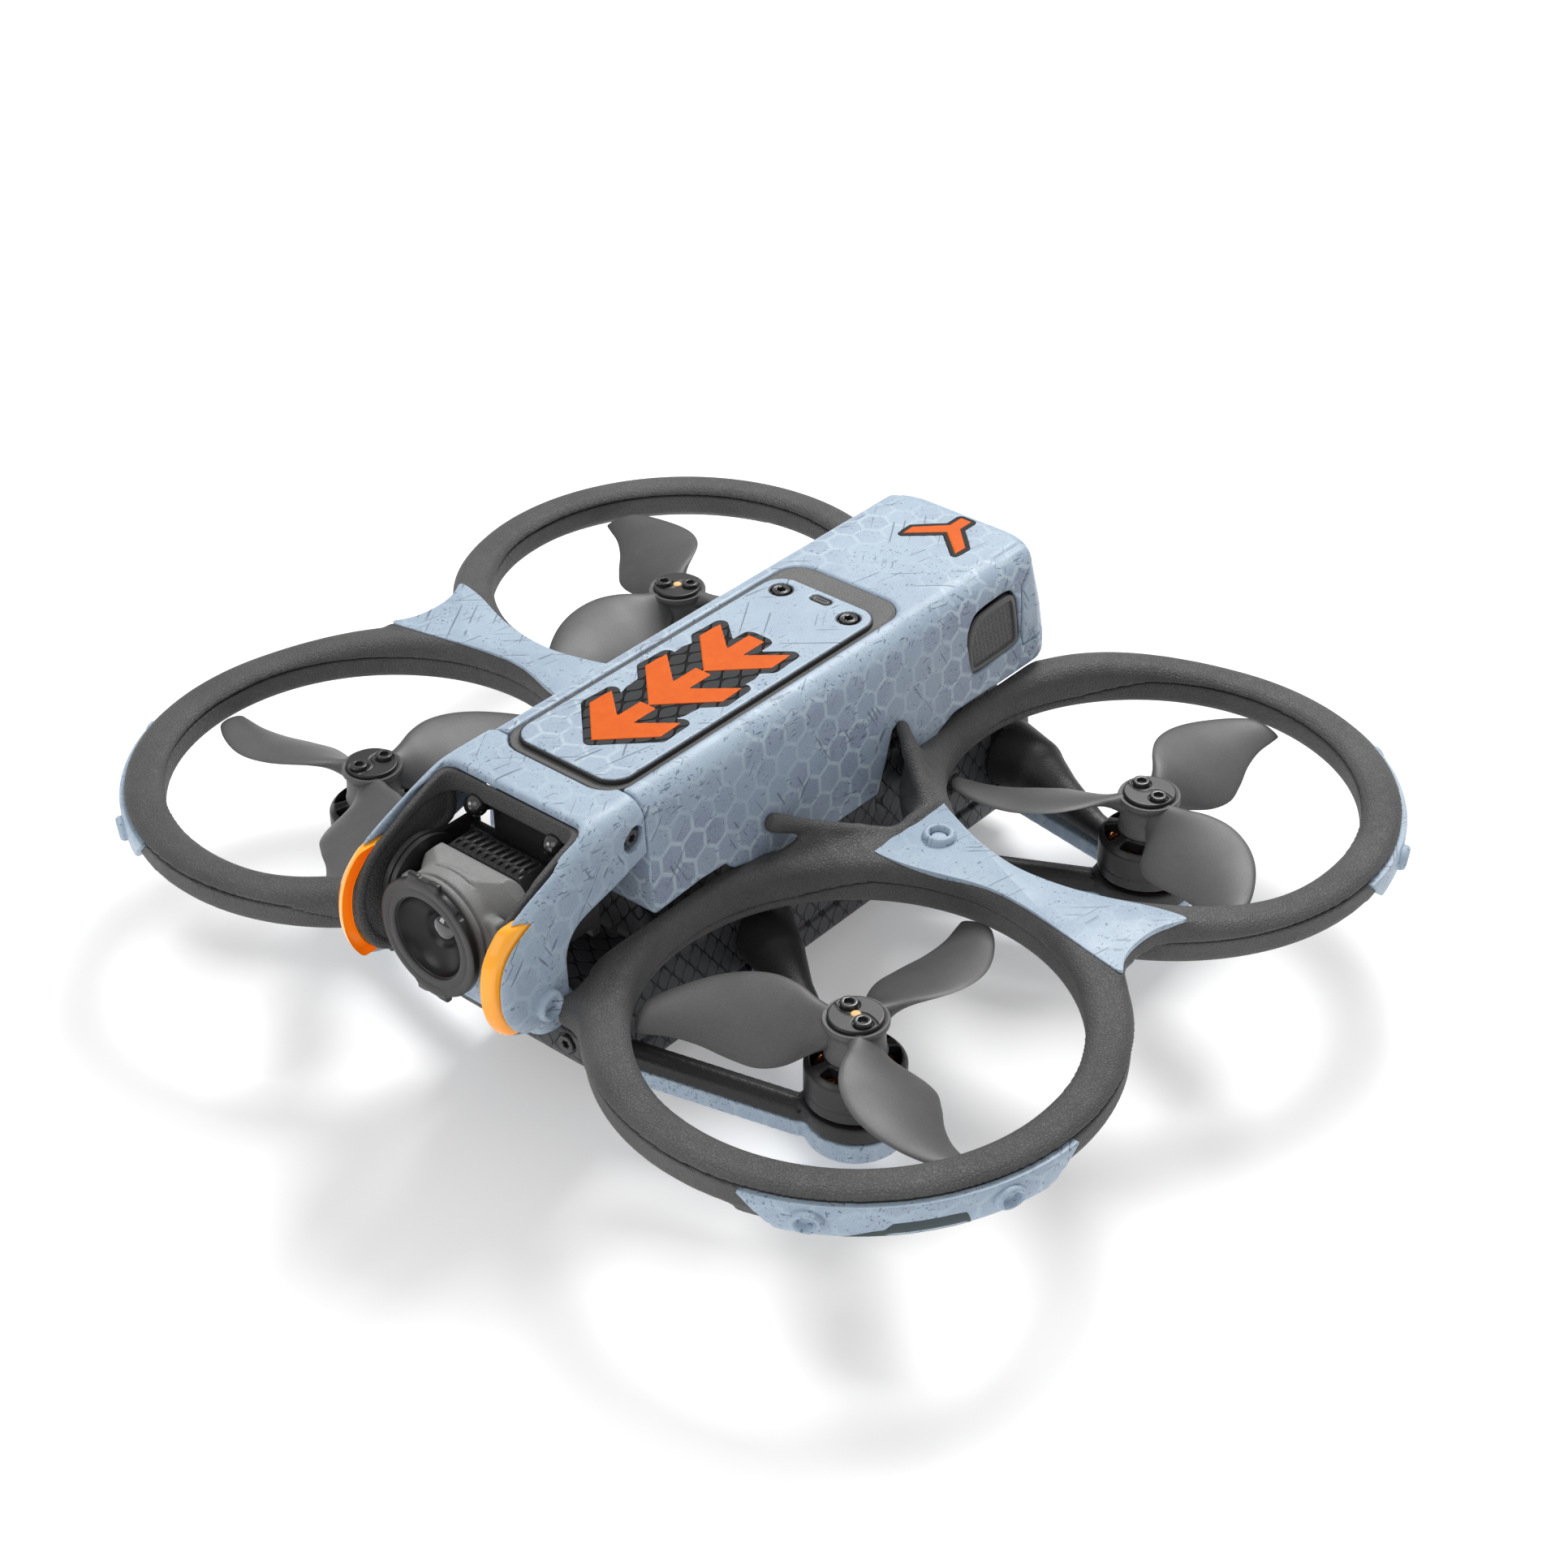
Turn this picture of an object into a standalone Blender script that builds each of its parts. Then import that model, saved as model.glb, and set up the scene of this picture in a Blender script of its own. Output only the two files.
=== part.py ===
"""Ducted four-rotor FPV drone with a tilting nose camera and a slide-out battery.

Lengths below are in millimetres and are multiplied by MM when a mesh is made.
Z is up, the nose points along -Y and the drone's own left side is +X.
The origin is on the ground, under the middle of the overall box.
"""

import math

import bmesh
import bpy
from mathutils import Matrix, Vector

MM = 0.001
GAP = 0.3  # clearance between neighbouring pieces

# Rotor layout
ROTOR_X = 59.5
ROTOR_Y = 43.2
HUB_TOP = 34.0
HUB_RADIUS = 5.6
HUB_BOTTOM = 25.8
PROP_RADIUS = 37.3
BLADE_HEIGHT = 30.1
# corner name, side (+1 left), end (+1 rear), turn of the first blade in degrees
CORNERS = (
    ("front_left", 1, -1, 88.0),
    ("front_right", -1, -1, 192.0),
    ("rear_left", 1, 1, 93.0),
    ("rear_right", -1, 1, 146.0),
)

# Guard rings
RING_RADIUS = 42.2
RING_SEAM = 31.1
RING_SEGMENTS = 40
POD_TURN = 40.0  # direction of an antenna pod from the side, in degrees

# Fuselage
BODY_TOP = 63.4
BODY_EDGE_RADIUS = 5.4
BODY_SHOULDER = 19.2
BODY_SKIRT = 20.4
SKIRT_BOTTOM = 40.0
WALL = 1.7
FRONT_WALL = 2.0
SHELL_FRONT = -50.0
SIDE_REAR = 56.0
REAR_CORNER_RADIUS = 11.0
SILL_BOTTOM = 39.0
SILL_TOP = 43.8
TUB_HALF_WIDTH = 18.0
TUB_NECK_HALF_WIDTH = 12.4
TUB_BOTTOM = 4.6
TUB_SHOULDER = 27.0

# Top plate and its pocket
POCKET_HALF_WIDTH = 13.9
POCKET_FRONT = -52.8
POCKET_REAR = 27.6
POCKET_FLOOR = 61.9
PLATE_HALF_WIDTH = 12.7
PLATE_FRONT = -50.9
PLATE_REAR = 21.6
PLATE_TOP = 63.8

# Camera
TILT_Y = -73.2
TILT_Z = 45.6
CAMERA_HALF_WIDTH = 12.4
LENS_RING_RADIUS = 11.4
LENS_FRONT = -84.8
LENS_X = 0.1
LENS_Z = 45.0

# Battery
BATTERY_HALF_WIDTH = 17.0
BATTERY_BOTTOM = 44.2
BATTERY_TOP = 59.9
BATTERY_FRONT = -26.0
CAP_BOTTOM = 44.1


def material(name, color, roughness, metallic=0.0):
    """A Principled material with one colour."""
    found = bpy.data.materials.get(name)
    if found:
        return found
    made = bpy.data.materials.new(name)
    made.use_nodes = True
    shader = made.node_tree.nodes["Principled BSDF"]
    shader.inputs["Base Color"].default_value = (*color, 1.0)
    shader.inputs["Roughness"].default_value = roughness
    shader.inputs["Metallic"].default_value = metallic
    return made


SKIN = ("skin", (0.48, 0.60, 0.72), 0.5)
GRAPHITE = ("graphite_plastic", (0.075, 0.075, 0.08), 0.6)
BLACK = ("black_plastic", (0.02, 0.02, 0.022), 0.45)
AMBER = ("amber_lens", (1.0, 0.42, 0.03), 0.25)
GLASS = ("lens_glass", (0.01, 0.01, 0.015), 0.05)
STEEL = ("black_steel", (0.05, 0.05, 0.055), 0.35, 0.9)
COPPER = ("copper_windings", (0.62, 0.25, 0.10), 0.4, 0.9)
ALUMINIUM = ("aluminium", (0.55, 0.56, 0.58), 0.4, 0.9)
BOARD = ("circuit_board", (0.02, 0.11, 0.06), 0.5)


def new_object(name, mesh_builder, finish):
    """Link a closed mesh as an object; the builder's lengths are in millimetres."""
    bmesh.ops.remove_doubles(mesh_builder, verts=mesh_builder.verts, dist=1e-4)
    bmesh.ops.recalc_face_normals(mesh_builder, faces=mesh_builder.faces)
    if mesh_builder.calc_volume(signed=True) < 0:
        bmesh.ops.reverse_faces(mesh_builder, faces=mesh_builder.faces)
    bmesh.ops.scale(mesh_builder, vec=(MM, MM, MM), verts=mesh_builder.verts)
    mesh = bpy.data.meshes.new(name)
    mesh_builder.to_mesh(mesh)
    mesh_builder.free()
    mesh.materials.append(material(*finish))
    made = bpy.data.objects.new(name, mesh)
    bpy.context.scene.collection.objects.link(made)
    return made


def loft(rings, closed=False):
    """Skin equal-length point rings; an open loft is capped at both ends."""
    made = bmesh.new()
    rows = [[made.verts.new(point) for point in ring] for ring in rings]
    count = len(rows[0])
    pairs = list(zip(rows, rows[1:]))
    if closed:
        pairs.append((rows[-1], rows[0]))
    for lower, upper in pairs:
        for index in range(count):
            after = (index + 1) % count
            made.faces.new((lower[index], lower[after], upper[after], upper[index]))
    if not closed:
        made.faces.new(list(reversed(rows[0])))
        made.faces.new(rows[-1])
    return made


def prism(outline, low, high, axis="Z"):
    """Extrude a flat outline; axis X takes (y, z) points and axis Y takes (x, z) points."""
    place = {
        "X": lambda a, b, level: (level, a, b),
        "Y": lambda a, b, level: (a, level, b),
        "Z": lambda a, b, level: (a, b, level),
    }[axis]
    return loft([[place(a, b, level) for a, b in outline] for level in (low, high)])


def box(low, high):
    (x0, y0, z0), (x1, y1, z1) = low, high
    return prism([(x0, y0), (x1, y0), (x1, y1), (x0, y1)], z0, z1)


def circle(radius, count, center=(0.0, 0.0), turn=0.0):
    angles = [turn + 2 * math.pi * step / count for step in range(count)]
    return [(center[0] + radius * math.cos(a), center[1] + radius * math.sin(a)) for a in angles]


def cylinder(radius, low, high, center, axis="Z", count=24):
    return prism(circle(radius, count, center), low, high, axis)


def turned(profile, center, count, closed_profile=False):
    """Turn (radius, z) points about a vertical axis; an open profile starts and ends on it."""
    x, y = center
    rings = []
    for step in range(count):
        angle = 2 * math.pi * step / count
        cosine, sine = math.cos(angle), math.sin(angle)
        rings.append([(x + r * cosine, y + r * sine, z) for r, z in profile])
    made = bmesh.new()
    rows = [[made.verts.new(point) for point in ring] for ring in rings]
    spans = len(profile) if closed_profile else len(profile) - 1
    for here, there in zip(rows, rows[1:] + rows[:1]):
        for index in range(spans):
            after = (index + 1) % len(profile)
            corners = [here[index], here[after], there[after], there[index]]
            distinct = []
            for corner in corners:
                if all((corner.co - other.co).length > 1e-6 for other in distinct):
                    distinct.append(corner)
            if len(distinct) > 2:
                made.faces.new(distinct)
    bmesh.ops.remove_doubles(made, verts=made.verts, dist=1e-5)
    return made


def rounded_rectangle(low, high, radius, steps=4):
    """Corner arcs of a rectangle, in order round it."""
    (x0, y0), (x1, y1) = low, high
    centers = (
        (x1 - radius, y1 - radius, 0),
        (x0 + radius, y1 - radius, 90),
        (x0 + radius, y0 + radius, 180),
        (x1 - radius, y0 + radius, 270),
    )
    points = []
    for cx, cy, start in centers:
        for step in range(steps + 1):
            angle = math.radians(start + 90 * step / steps)
            points.append((cx + radius * math.cos(angle), cy + radius * math.sin(angle)))
    return points


def combine(base, others, operation):
    """Apply Boolean operations with other builders' solids, and keep the evaluated mesh."""
    for other in others:
        helper = new_object("helper", other, GRAPHITE)
        helper.display_type = "WIRE"
        helper.hide_render = True
        step = base.modifiers.new(operation.title(), "BOOLEAN")
        step.operation = operation
        step.solver = "EXACT"
        step.object = helper
        graph = bpy.context.evaluated_depsgraph_get()
        mesh = bpy.data.meshes.new_from_object(base.evaluated_get(graph))
        base.modifiers.clear()
        old_mesh = base.data
        base.data = mesh
        bpy.data.meshes.remove(old_mesh)
        mesh.name = base.name
        helper_mesh = helper.data
        bpy.data.objects.remove(helper)
        bpy.data.meshes.remove(helper_mesh)
    return base


def join(base, others):
    return combine(base, others, "UNION")


def cut(base, others):
    return combine(base, others, "DIFFERENCE")


def keep_inside(base, others):
    return combine(base, others, "INTERSECT")


def shade(made, angle=35.0):
    made.data.shade_smooth()
    made.data.set_sharp_from_angle(angle=math.radians(angle))
    return made


def set_origin(made, pivot):
    """Move an object's origin onto its joint axis without moving its shape."""
    offset = Vector(pivot) * MM
    for vertex in made.data.vertices:
        vertex.co -= offset
    made.location = offset
    return made


def body_section(shrink=0.0, bottom=SKIRT_BOTTOM, skirt=BODY_SKIRT):
    """The fuselage's cross-section as (x, z) points, from one skirt over the top to the other."""
    radius = BODY_EDGE_RADIUS - shrink
    corner_x = BODY_SHOULDER - BODY_EDGE_RADIUS
    corner_z = BODY_TOP - BODY_EDGE_RADIUS
    half = [(skirt - shrink, bottom)]
    for step in range(6):
        angle = math.radians(90 * step / 5)
        half.append((corner_x + radius * math.cos(angle), corner_z + radius * math.sin(angle)))
    return half + [(-x, z) for x, z in reversed(half)]


def plate_pocket():
    outline = rounded_rectangle(
        (-POCKET_HALF_WIDTH, POCKET_FRONT), (POCKET_HALF_WIDTH, POCKET_REAR), 5.6
    )
    return prism(outline, POCKET_FLOOR, BODY_TOP + 3)


def rear_envelope():
    """Rounded tail that the shell and the battery cap share; it ends further back lower down."""
    levels = (
        (30.0, 69.8), (44.0, 69.2), (50.0, 68.0), (60.6, 64.8), (62.4, 63.7), (63.2, 62.3), (66.0, 56.0),
    )
    rings = []
    for z, rear in levels:
        outline = rounded_rectangle((-20.6, -90.0), (20.6, rear), REAR_CORNER_RADIUS, 5)
        rings.append([(x, y, z) for x, y in outline])
    return loft(rings)


def make_upper_shell():
    """Inverted tray over the battery, open below and behind, with a sill under the battery cap."""
    shell = new_object("upper_shell", prism(body_section(), SHELL_FRONT, 70.0, "Y"), SKIN)
    inside = [(x, min(z, POCKET_FLOOR - 1.6)) for x, z in body_section(WALL, SKIRT_BOTTOM - 10)]
    cut(shell, [prism(inside, SHELL_FRONT + FRONT_WALL, 75.0, "Y")])
    tail = [(SIDE_REAR, 30), (SIDE_REAR, 57.0), (58.3, 59.2), (60.5, 60.3), (75, 60.3), (75, 70)]
    tail += [(-60, 70), (-60, 30)]
    keep_inside(shell, [prism(tail, -30, 30, "X")])
    sill = box((-BODY_SKIRT, 47.0, SILL_BOTTOM), (BODY_SKIRT, 75.0, SILL_TOP))
    flap_half_length = 14.6
    flaps = []
    for side in (-1, 1):
        low, high = sorted((side * (BODY_SKIRT - WALL), side * BODY_SKIRT))
        flaps.append(box((low, -flap_half_length, 34.6), (high, flap_half_length, 45.0)))
    join(shell, [sill] + flaps)
    keep_inside(shell, [rear_envelope()])
    latch_slots = [box((side * 19.8 - 3, 38.6, 44.4), (side * 19.8 + 3, 58.0, 57.2)) for side in (-1, 1)]
    screw_holes = [cylinder(1.9, 59.6, BODY_TOP, (side * 8.2, 17.0), "Z", 12) for side in (-1, 1)]
    grooves = []
    for side in (-1, 1):
        x = side * 15.2
        grooves.append(box((x - 0.35, 51.5, BODY_TOP - 0.8), (x + 0.35, 61.0, BODY_TOP + 1)))
    cut(shell, [plate_pocket()] + latch_slots + screw_holes + grooves)
    return shade(shell)


def make_top_plate():
    outline = rounded_rectangle((-PLATE_HALF_WIDTH, PLATE_FRONT), (PLATE_HALF_WIDTH, PLATE_REAR), 4.6)
    plate = new_object("top_plate", prism(outline, POCKET_FLOOR + GAP, PLATE_TOP), SKIN)
    slot = rounded_rectangle((-2.1, 18.0), (2.1, 19.6), 0.75, 3)
    holes = [cylinder(2.0, 60, 66, (side * 8.2, 17.0), "Z", 12) for side in (-1, 1)]
    cut(plate, [prism(slot, 60, 66)] + holes)
    for side, name in ((1, "left"), (-1, "right")):
        shank = [(0, 60.2), (1.5, 60.2), (1.5, 62.6)]
        head = [(1.7, 62.6), (1.7, 63.9), (0.8, 63.9), (0.8, 63.1), (0, 63.1)]
        screw = turned(shank + head, (side * 8.2, 17.0), 10)
        shade(new_object(f"top_plate_screw_{name}", screw, STEEL))
    return shade(plate)


BUMPER_OUTLINE = [
    (SHELL_FRONT - GAP, 63.4),
    (-62.5, 63.4),
    (-70.0, 60.4),
    (-78.5, 57.0),
    (-83.2, 54.6),
    (-86.6, 51.2),
    (-88.3, 46.5),
    (-88.3, 41.0),
    (-86.8, 36.0),
    (-84.0, 32.2),
    (-79.0, 30.4),
    (-72.0, 30.2),
    (-71.0, 33.0),
    (-71.2, 43.5),
    (-68.4, 47.6),
    (-59.0, 49.8),
    (SHELL_FRONT - GAP, 52.4),
]
BUMPER_ARM_INNER = 16.5
SIDE_SCREW = (-53.4, 57.1)


def front_edge(z):
    """The arms' front edge: its y at height z."""
    points = BUMPER_OUTLINE[4:10]
    for (y0, z0), (y1, z1) in zip(points, points[1:]):
        if z >= z1:
            return y0 + (y1 - y0) * (z - z0) / (z1 - z0)
    return points[-1][0]


def light_band(proud, depth, low, high):
    """Side outline of a strip along the arms' front edge."""
    steps = 8
    heights = [low + (high - low) * step / steps for step in range(steps + 1)]
    front = [(front_edge(z) - proud, z) for z in heights]
    back = [(front_edge(z) + depth, z) for z in reversed(heights)]
    return front + back


def make_bumper():
    """Bumper hood whose two arms curve down and round the camera."""
    hood = new_object("front_bumper", prism(BUMPER_OUTLINE, -BODY_SKIRT, BODY_SKIRT, "X"), SKIN)
    keep_inside(hood, [prism(body_section(bottom=20, skirt=20.0), -100, -40, "Y")])
    opening = rounded_rectangle((-BUMPER_ARM_INNER, -100), (BUMPER_ARM_INNER, -62.2), 2.6, 3)
    inside = [(x, min(z, 60.3)) for x, z in body_section(WALL, 10)]
    light_seats = []
    for side in (-1, 1):
        low, high = sorted((side * 17.0, side * 20.2))
        light_seats.append(prism(light_band(3.0, 2.3, 32.7, 54.3), low, high, "X"))
    side_holes = []
    for side in (-1, 1):
        low, high = sorted((side * 17.3, side * 22.0))
        side_holes.append(cylinder(1.9, low, high, SIDE_SCREW, "X", 10))
    cut(hood, [prism(opening, 20, 80), prism(inside, -62.3, -40, "Y"), plate_pocket()])
    cut(hood, light_seats + side_holes)
    shade(hood)
    for side, name in ((1, "left"), (-1, "right")):
        low, high = sorted((side * 17.3, side * 19.5))
        strip = prism(light_band(0.25, 2.0, 33.0, 54.0), low, high, "X")
        shade(new_object(f"bumper_light_{name}", strip, AMBER))
        low, high = sorted((side * 17.6, side * 18.9))
        screw = cylinder(1.55, low, high, SIDE_SCREW, "X", 10)
        shade(new_object(f"bumper_side_screw_{name}", screw, STEEL))
    return hood


def make_camera_bezel():
    """Dark liner inside the bumper's opening."""
    outline = [(-62.6, 60.9), (-70.2, 57.9), (-78.4, 54.6), (-83.0, 51.4), (-85.6, 46.3), (-85.6, 41.2)]
    outline += [(-84.0, 36.9), (-81.8, 33.9), (-78.2, 32.0), (-73.5, 31.8), (-73.0, 34.2), (-73.2, 44.2)]
    outline += [(-69.8, 49.4), (-62.6, 51.4)]
    bezel = new_object("camera_bezel", prism(outline, -16.2, 16.2, "X"), GRAPHITE)
    keep_inside(bezel, [prism(rounded_rectangle((-16.2, -100), (16.2, -62.6), 2.3, 3), 20, 80)])
    cut(bezel, [box((-15.2, -100, 20), (15.2, -63.4, 80)), box((-15.2, -70, 20), (15.2, -60, 59.4))])
    return shade(bezel)


def ring_profile(points):
    return [(RING_RADIUS + offset, z) for offset, z in points]


# Tube sections as (offset from RING_RADIUS, z)
UPPER_RING = [
    (-4.3, RING_SEAM + 0.2), (-4.3, 33.4), (-3.2, 36.1), (-1.2, 37.3),
    (1.2, 37.3), (3.2, 36.1), (4.3, 33.4), (4.2, RING_SEAM + 0.2),
]
LOWER_RING = [
    (-3.5, RING_SEAM - 0.2), (-2.8, 29.0), (-1.2, 28.4), (1.6, 28.4), (3.0, 29.1), (3.7, RING_SEAM - 0.2),
]

WEB_OUTLINE = [
    (88.6, -9.4), (86.4, -3.4), (85.9, 1.0), (86.6, 5.2), (88.8, 10.4), (74.0, 6.2),
    (59.5, 4.6), (46.0, 6.6), (33.2, 12.0), (35.2, 5.0), (35.8, 0.8), (35.2, -3.6),
    (33.2, -10.4), (46.0, -5.8), (59.5, -4.2), (74.0, -5.6),
]


def mirrored(outline, side):
    return [(side * x, y) for x, y in outline]


def pod_arc(side, end, radius, turns):
    """Points on an arc about a rotor axis, centred on that corner's antenna pod."""
    pod = math.radians(POD_TURN)
    middle = math.atan2(end * math.sin(pod), side * math.cos(pod))
    points = []
    for turn in turns:
        angle = middle + side * end * math.radians(turn)
        points.append((side * ROTOR_X + radius * math.cos(angle), end * ROTOR_Y + radius * math.sin(angle)))
    return points


def make_guard(side, name):
    """Upper and lower guard mouldings of one side: two rings, a web, body brackets and nose lugs."""
    centers = [(side * ROTOR_X, end * ROTOR_Y) for end in (-1, 1)]
    rings = [turned(ring_profile(UPPER_RING), c, RING_SEGMENTS, True) for c in centers]
    upper = new_object(f"guard_upper_{name}", rings[0], GRAPHITE)
    web = prism(mirrored(WEB_OUTLINE, side), 32.2, 37.0)
    brackets = []
    for end in (-1, 1):
        bracket = [(20.8, 15.4), (20.8, 21.5), (26.0, 15.0), (34.5, 7.4), (33.2, 4.8)]
        outline = [(side * across, end * along) for across, along in bracket]
        brackets.append(prism(outline, 31.6, 38.6))
    nose_lug = [(20.3, -76.6), (20.3, -69.6), (28.0, -64.0), (33.0, -71.0), (27.0, -73.6)]
    brackets.append(prism(mirrored(nose_lug, side), 31.4, 36.6))
    boss = cylinder(2.5, 36.4, 37.9, (side * 41.8, 2.0), "Z", 20)
    join(upper, [rings[1], web] + brackets + [boss])
    shade(upper)

    rings = [turned(ring_profile(LOWER_RING), c, RING_SEGMENTS, True) for c in centers]
    lower = new_object(f"guard_lower_{name}", rings[0], GRAPHITE)
    pods = []
    turns = range(-36, 37, 12)
    for end in (-1, 1):
        outline = pod_arc(side, end, 45.4, turns) + pod_arc(side, end, 41.4, reversed(turns))
        pods.append(prism(outline, 26.9, 30.6))
    lug = [(20.3, -75.6), (20.3, -70.5), (24.0, -68.5), (30.0, -70.8), (25.6, -73.0), (25.2, -75.6)]
    join(lower, [rings[1]] + pods + [prism(mirrored(lug, side), 25.8, RING_SEAM - 0.2)])
    lug_screw = (side * 22.7, 28.4)
    cut(lower, [cylinder(1.9, -78.0, -73.3, lug_screw, "Y", 10)])
    shade(lower)
    screw = cylinder(1.55, -75.8, -73.6, lug_screw, "Y", 10)
    shade(new_object(f"bumper_lug_screw_{name}", screw, STEEL))


def make_antenna_cover(name, side, end):
    """Curved outer plate over an antenna pod under the ring's outer corner."""
    turns = (-38, -32, -26, -13, 0, 13, 26, 32, 38)
    arcs = [pod_arc(side, end, radius, turns) for radius in (46.2, 47.1, 46.6, 45.8)]
    rings = []
    for index, turn in enumerate(turns):
        bottom = 26.4 + max(0.0, abs(turn) - 26) * 0.26
        heights = (30.9, 30.9, bottom, bottom)
        rings.append([(*arc[index], z) for arc, z in zip(arcs, heights)])
    return shade(new_object(f"antenna_cover_{name}", loft(rings), SKIN))


def make_lower_shell():
    """Tub under the battery: electronics bay, belly and four landing feet."""
    belly = [
        (-66.0, 14.0), (-67.2, 18.5), (-65.5, 22.5), (-61.0, 26.0),
        (-56.0, TUB_SHOULDER), (62.0, TUB_SHOULDER), (64.5, 22.0),
        (61.5, 9.0), (57.0, TUB_BOTTOM), (-52.0, TUB_BOTTOM), (-61.0, 8.5),
    ]
    tub = new_object("lower_shell", prism(belly, -TUB_HALF_WIDTH, TUB_HALF_WIDTH, "X"), BLACK)
    wide = rounded_rectangle((-TUB_HALF_WIDTH, 2), (TUB_HALF_WIDTH, 50), 4.5, 4)
    keep_inside(tub, [prism(wide, -90, 90, "Y")])
    neck = box((-TUB_NECK_HALF_WIDTH, -46.0, 20), (TUB_NECK_HALF_WIDTH, 60.0, 38.6))
    waist = box((-TUB_HALF_WIDTH, -14.2, 20), (TUB_HALF_WIDTH, 14.2, 38.6))
    feet = []
    for x in (-11.0, 11.0):
        for y in (-44.0, 50.0):
            pad = [(y - 4.5, 6.0), (y - 3.0, 0.0), (y + 3.0, 0.0), (y + 4.5, 6.0)]
            feet.append(prism(pad, x - 2.2, x + 2.2, "X"))
    join(tub, [neck, waist] + feet)
    bay = box((-10.6, -44.0, 7.0), (10.6, 57.0, 50))
    sensor_seat = prism(rounded_rectangle((-9.3, -22.3), (9.3, -11.7), 2.6), 0, 5.8)
    vent_slots = [box((-8, y, 0), (8, y + 1.6, 10)) for y in (22, 26, 30, 34)]
    cut(tub, [bay, sensor_seat] + vent_slots)
    shade(tub)
    window = prism(rounded_rectangle((-9.0, -22.0), (9.0, -12.0), 2.3), 4.7, 5.5)
    shade(new_object("belly_sensor_window", window, GLASS))
    board = new_object("main_board", box((-9.8, -40, 12.0), (9.8, 20, 13.6)), BOARD)
    chips = [((-6, -34, 13.0), (2, -26, 17)), ((-7, -6, 13.0), (7, 8, 15.4)), ((3, -22, 13.0), (9, -12, 16))]
    join(board, [box(low, high) for low, high in chips])
    sink = box((-9.8, 24, 14.0), (9.8, 52, 16.0))
    heat_sink = new_object("heat_sink", sink, ALUMINIUM)
    join(heat_sink, [box((x, 24.2, 15.5), (x + 1.0, 51.8, 22)) for x in range(-9, 9, 3)])


# Motor arms
ARM_TOP = 15.9
STRUT_TOP = 15.5
ARM_SPLIT = 12.2
STRUT_BOTTOM = 8.8
MOUNT_BOTTOM = 7.9
MOUNT_RADIUS = 9.2


def strut(root_y, tip, root_half, tip_half, side, root_x=18.3):
    """Plan outline of one strut from the tub's side to a motor mount."""
    tip_x, tip_y = tip
    outline = [
        (root_x, root_y - root_half), (tip_x, tip_y - tip_half),
        (tip_x, tip_y + tip_half), (root_x, root_y + root_half),
    ]
    return mirrored(outline, side)


def tapered_strut(root_y, tip, root_half, tip_half, heights, side, root_x=18.3):
    """A strut whose height and width shrink from root to tip."""
    (root_low, root_high), (tip_low, tip_high) = heights
    rings = []
    run = tip[1] - root_y
    for x, y, half, low, high in (
        (root_x, root_y, root_half, root_low, root_high),
        (root_x + 9.0, root_y + 0.3 * run, root_half * 0.86, root_low, root_high - 1.0),
        (root_x + 17.0, root_y + 0.58 * run, (root_half + tip_half) * 0.42, root_low, tip_high + 2.0),
        (tip[0], tip[1], tip_half, tip_low, tip_high),
    ):
        middle = (low + high) / 2
        height = (high - low) / 2
        points = []
        for step in range(8):
            angle = math.radians(22.5 + 45 * step)
            across, up = half * 1.08 * math.cos(angle), height * 1.08 * math.sin(angle)
            points.append((side * x, y + across, middle + up))
        rings.append(points)
    return loft(rings)


def make_arm(name, side, end):
    """V-shaped black arm with its motor mount, and the pale cover under it."""
    x, y = side * ROTOR_X, end * ROTOR_Y
    center = (x, y)
    outer_root = end * 57.5
    outer_tip = (52.0, end * 49.3)
    inner_root = end * 20.0
    inner_tip = (53.0, end * 37.6)
    mount = cylinder(MOUNT_RADIUS, ARM_SPLIT + GAP, ARM_TOP, center, "Z", 20)
    arm = new_object(f"motor_arm_{name}", mount, BLACK)
    if end < 0:
        slim_outline = strut(outer_root, outer_tip, 2.9, 2.6, side)
        root, tip, half, low, high = inner_root, inner_tip, 6.2, 12.6, 25.6
    else:
        slim_outline = strut(inner_root, inner_tip, 2.9, 2.6, side)
        root, tip, half, low, high = outer_root - 3.5, outer_tip, 6.9, 12.9, 26.0
    thick = tapered_strut(root, tip, half, 2.6, ((low, high), (12.7, 16.6)), side, 18.6)
    join(arm, [prism(slim_outline, ARM_SPLIT + GAP, STRUT_TOP), thick])
    cut(arm, [cylinder(3.1, 5, 20, center, "Z", 16)])
    shade(arm)
    base = cylinder(MOUNT_RADIUS, MOUNT_BOTTOM, ARM_SPLIT, center, "Z", 20)
    cover = new_object(f"arm_cover_{name}", base, SKIN)
    for root, tip in ((outer_root, outer_tip), (inner_root, inner_tip)):
        join(cover, [prism(strut(root, tip, 2.9, 2.6, side), STRUT_BOTTOM, ARM_SPLIT)])
    shade(cover)


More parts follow.
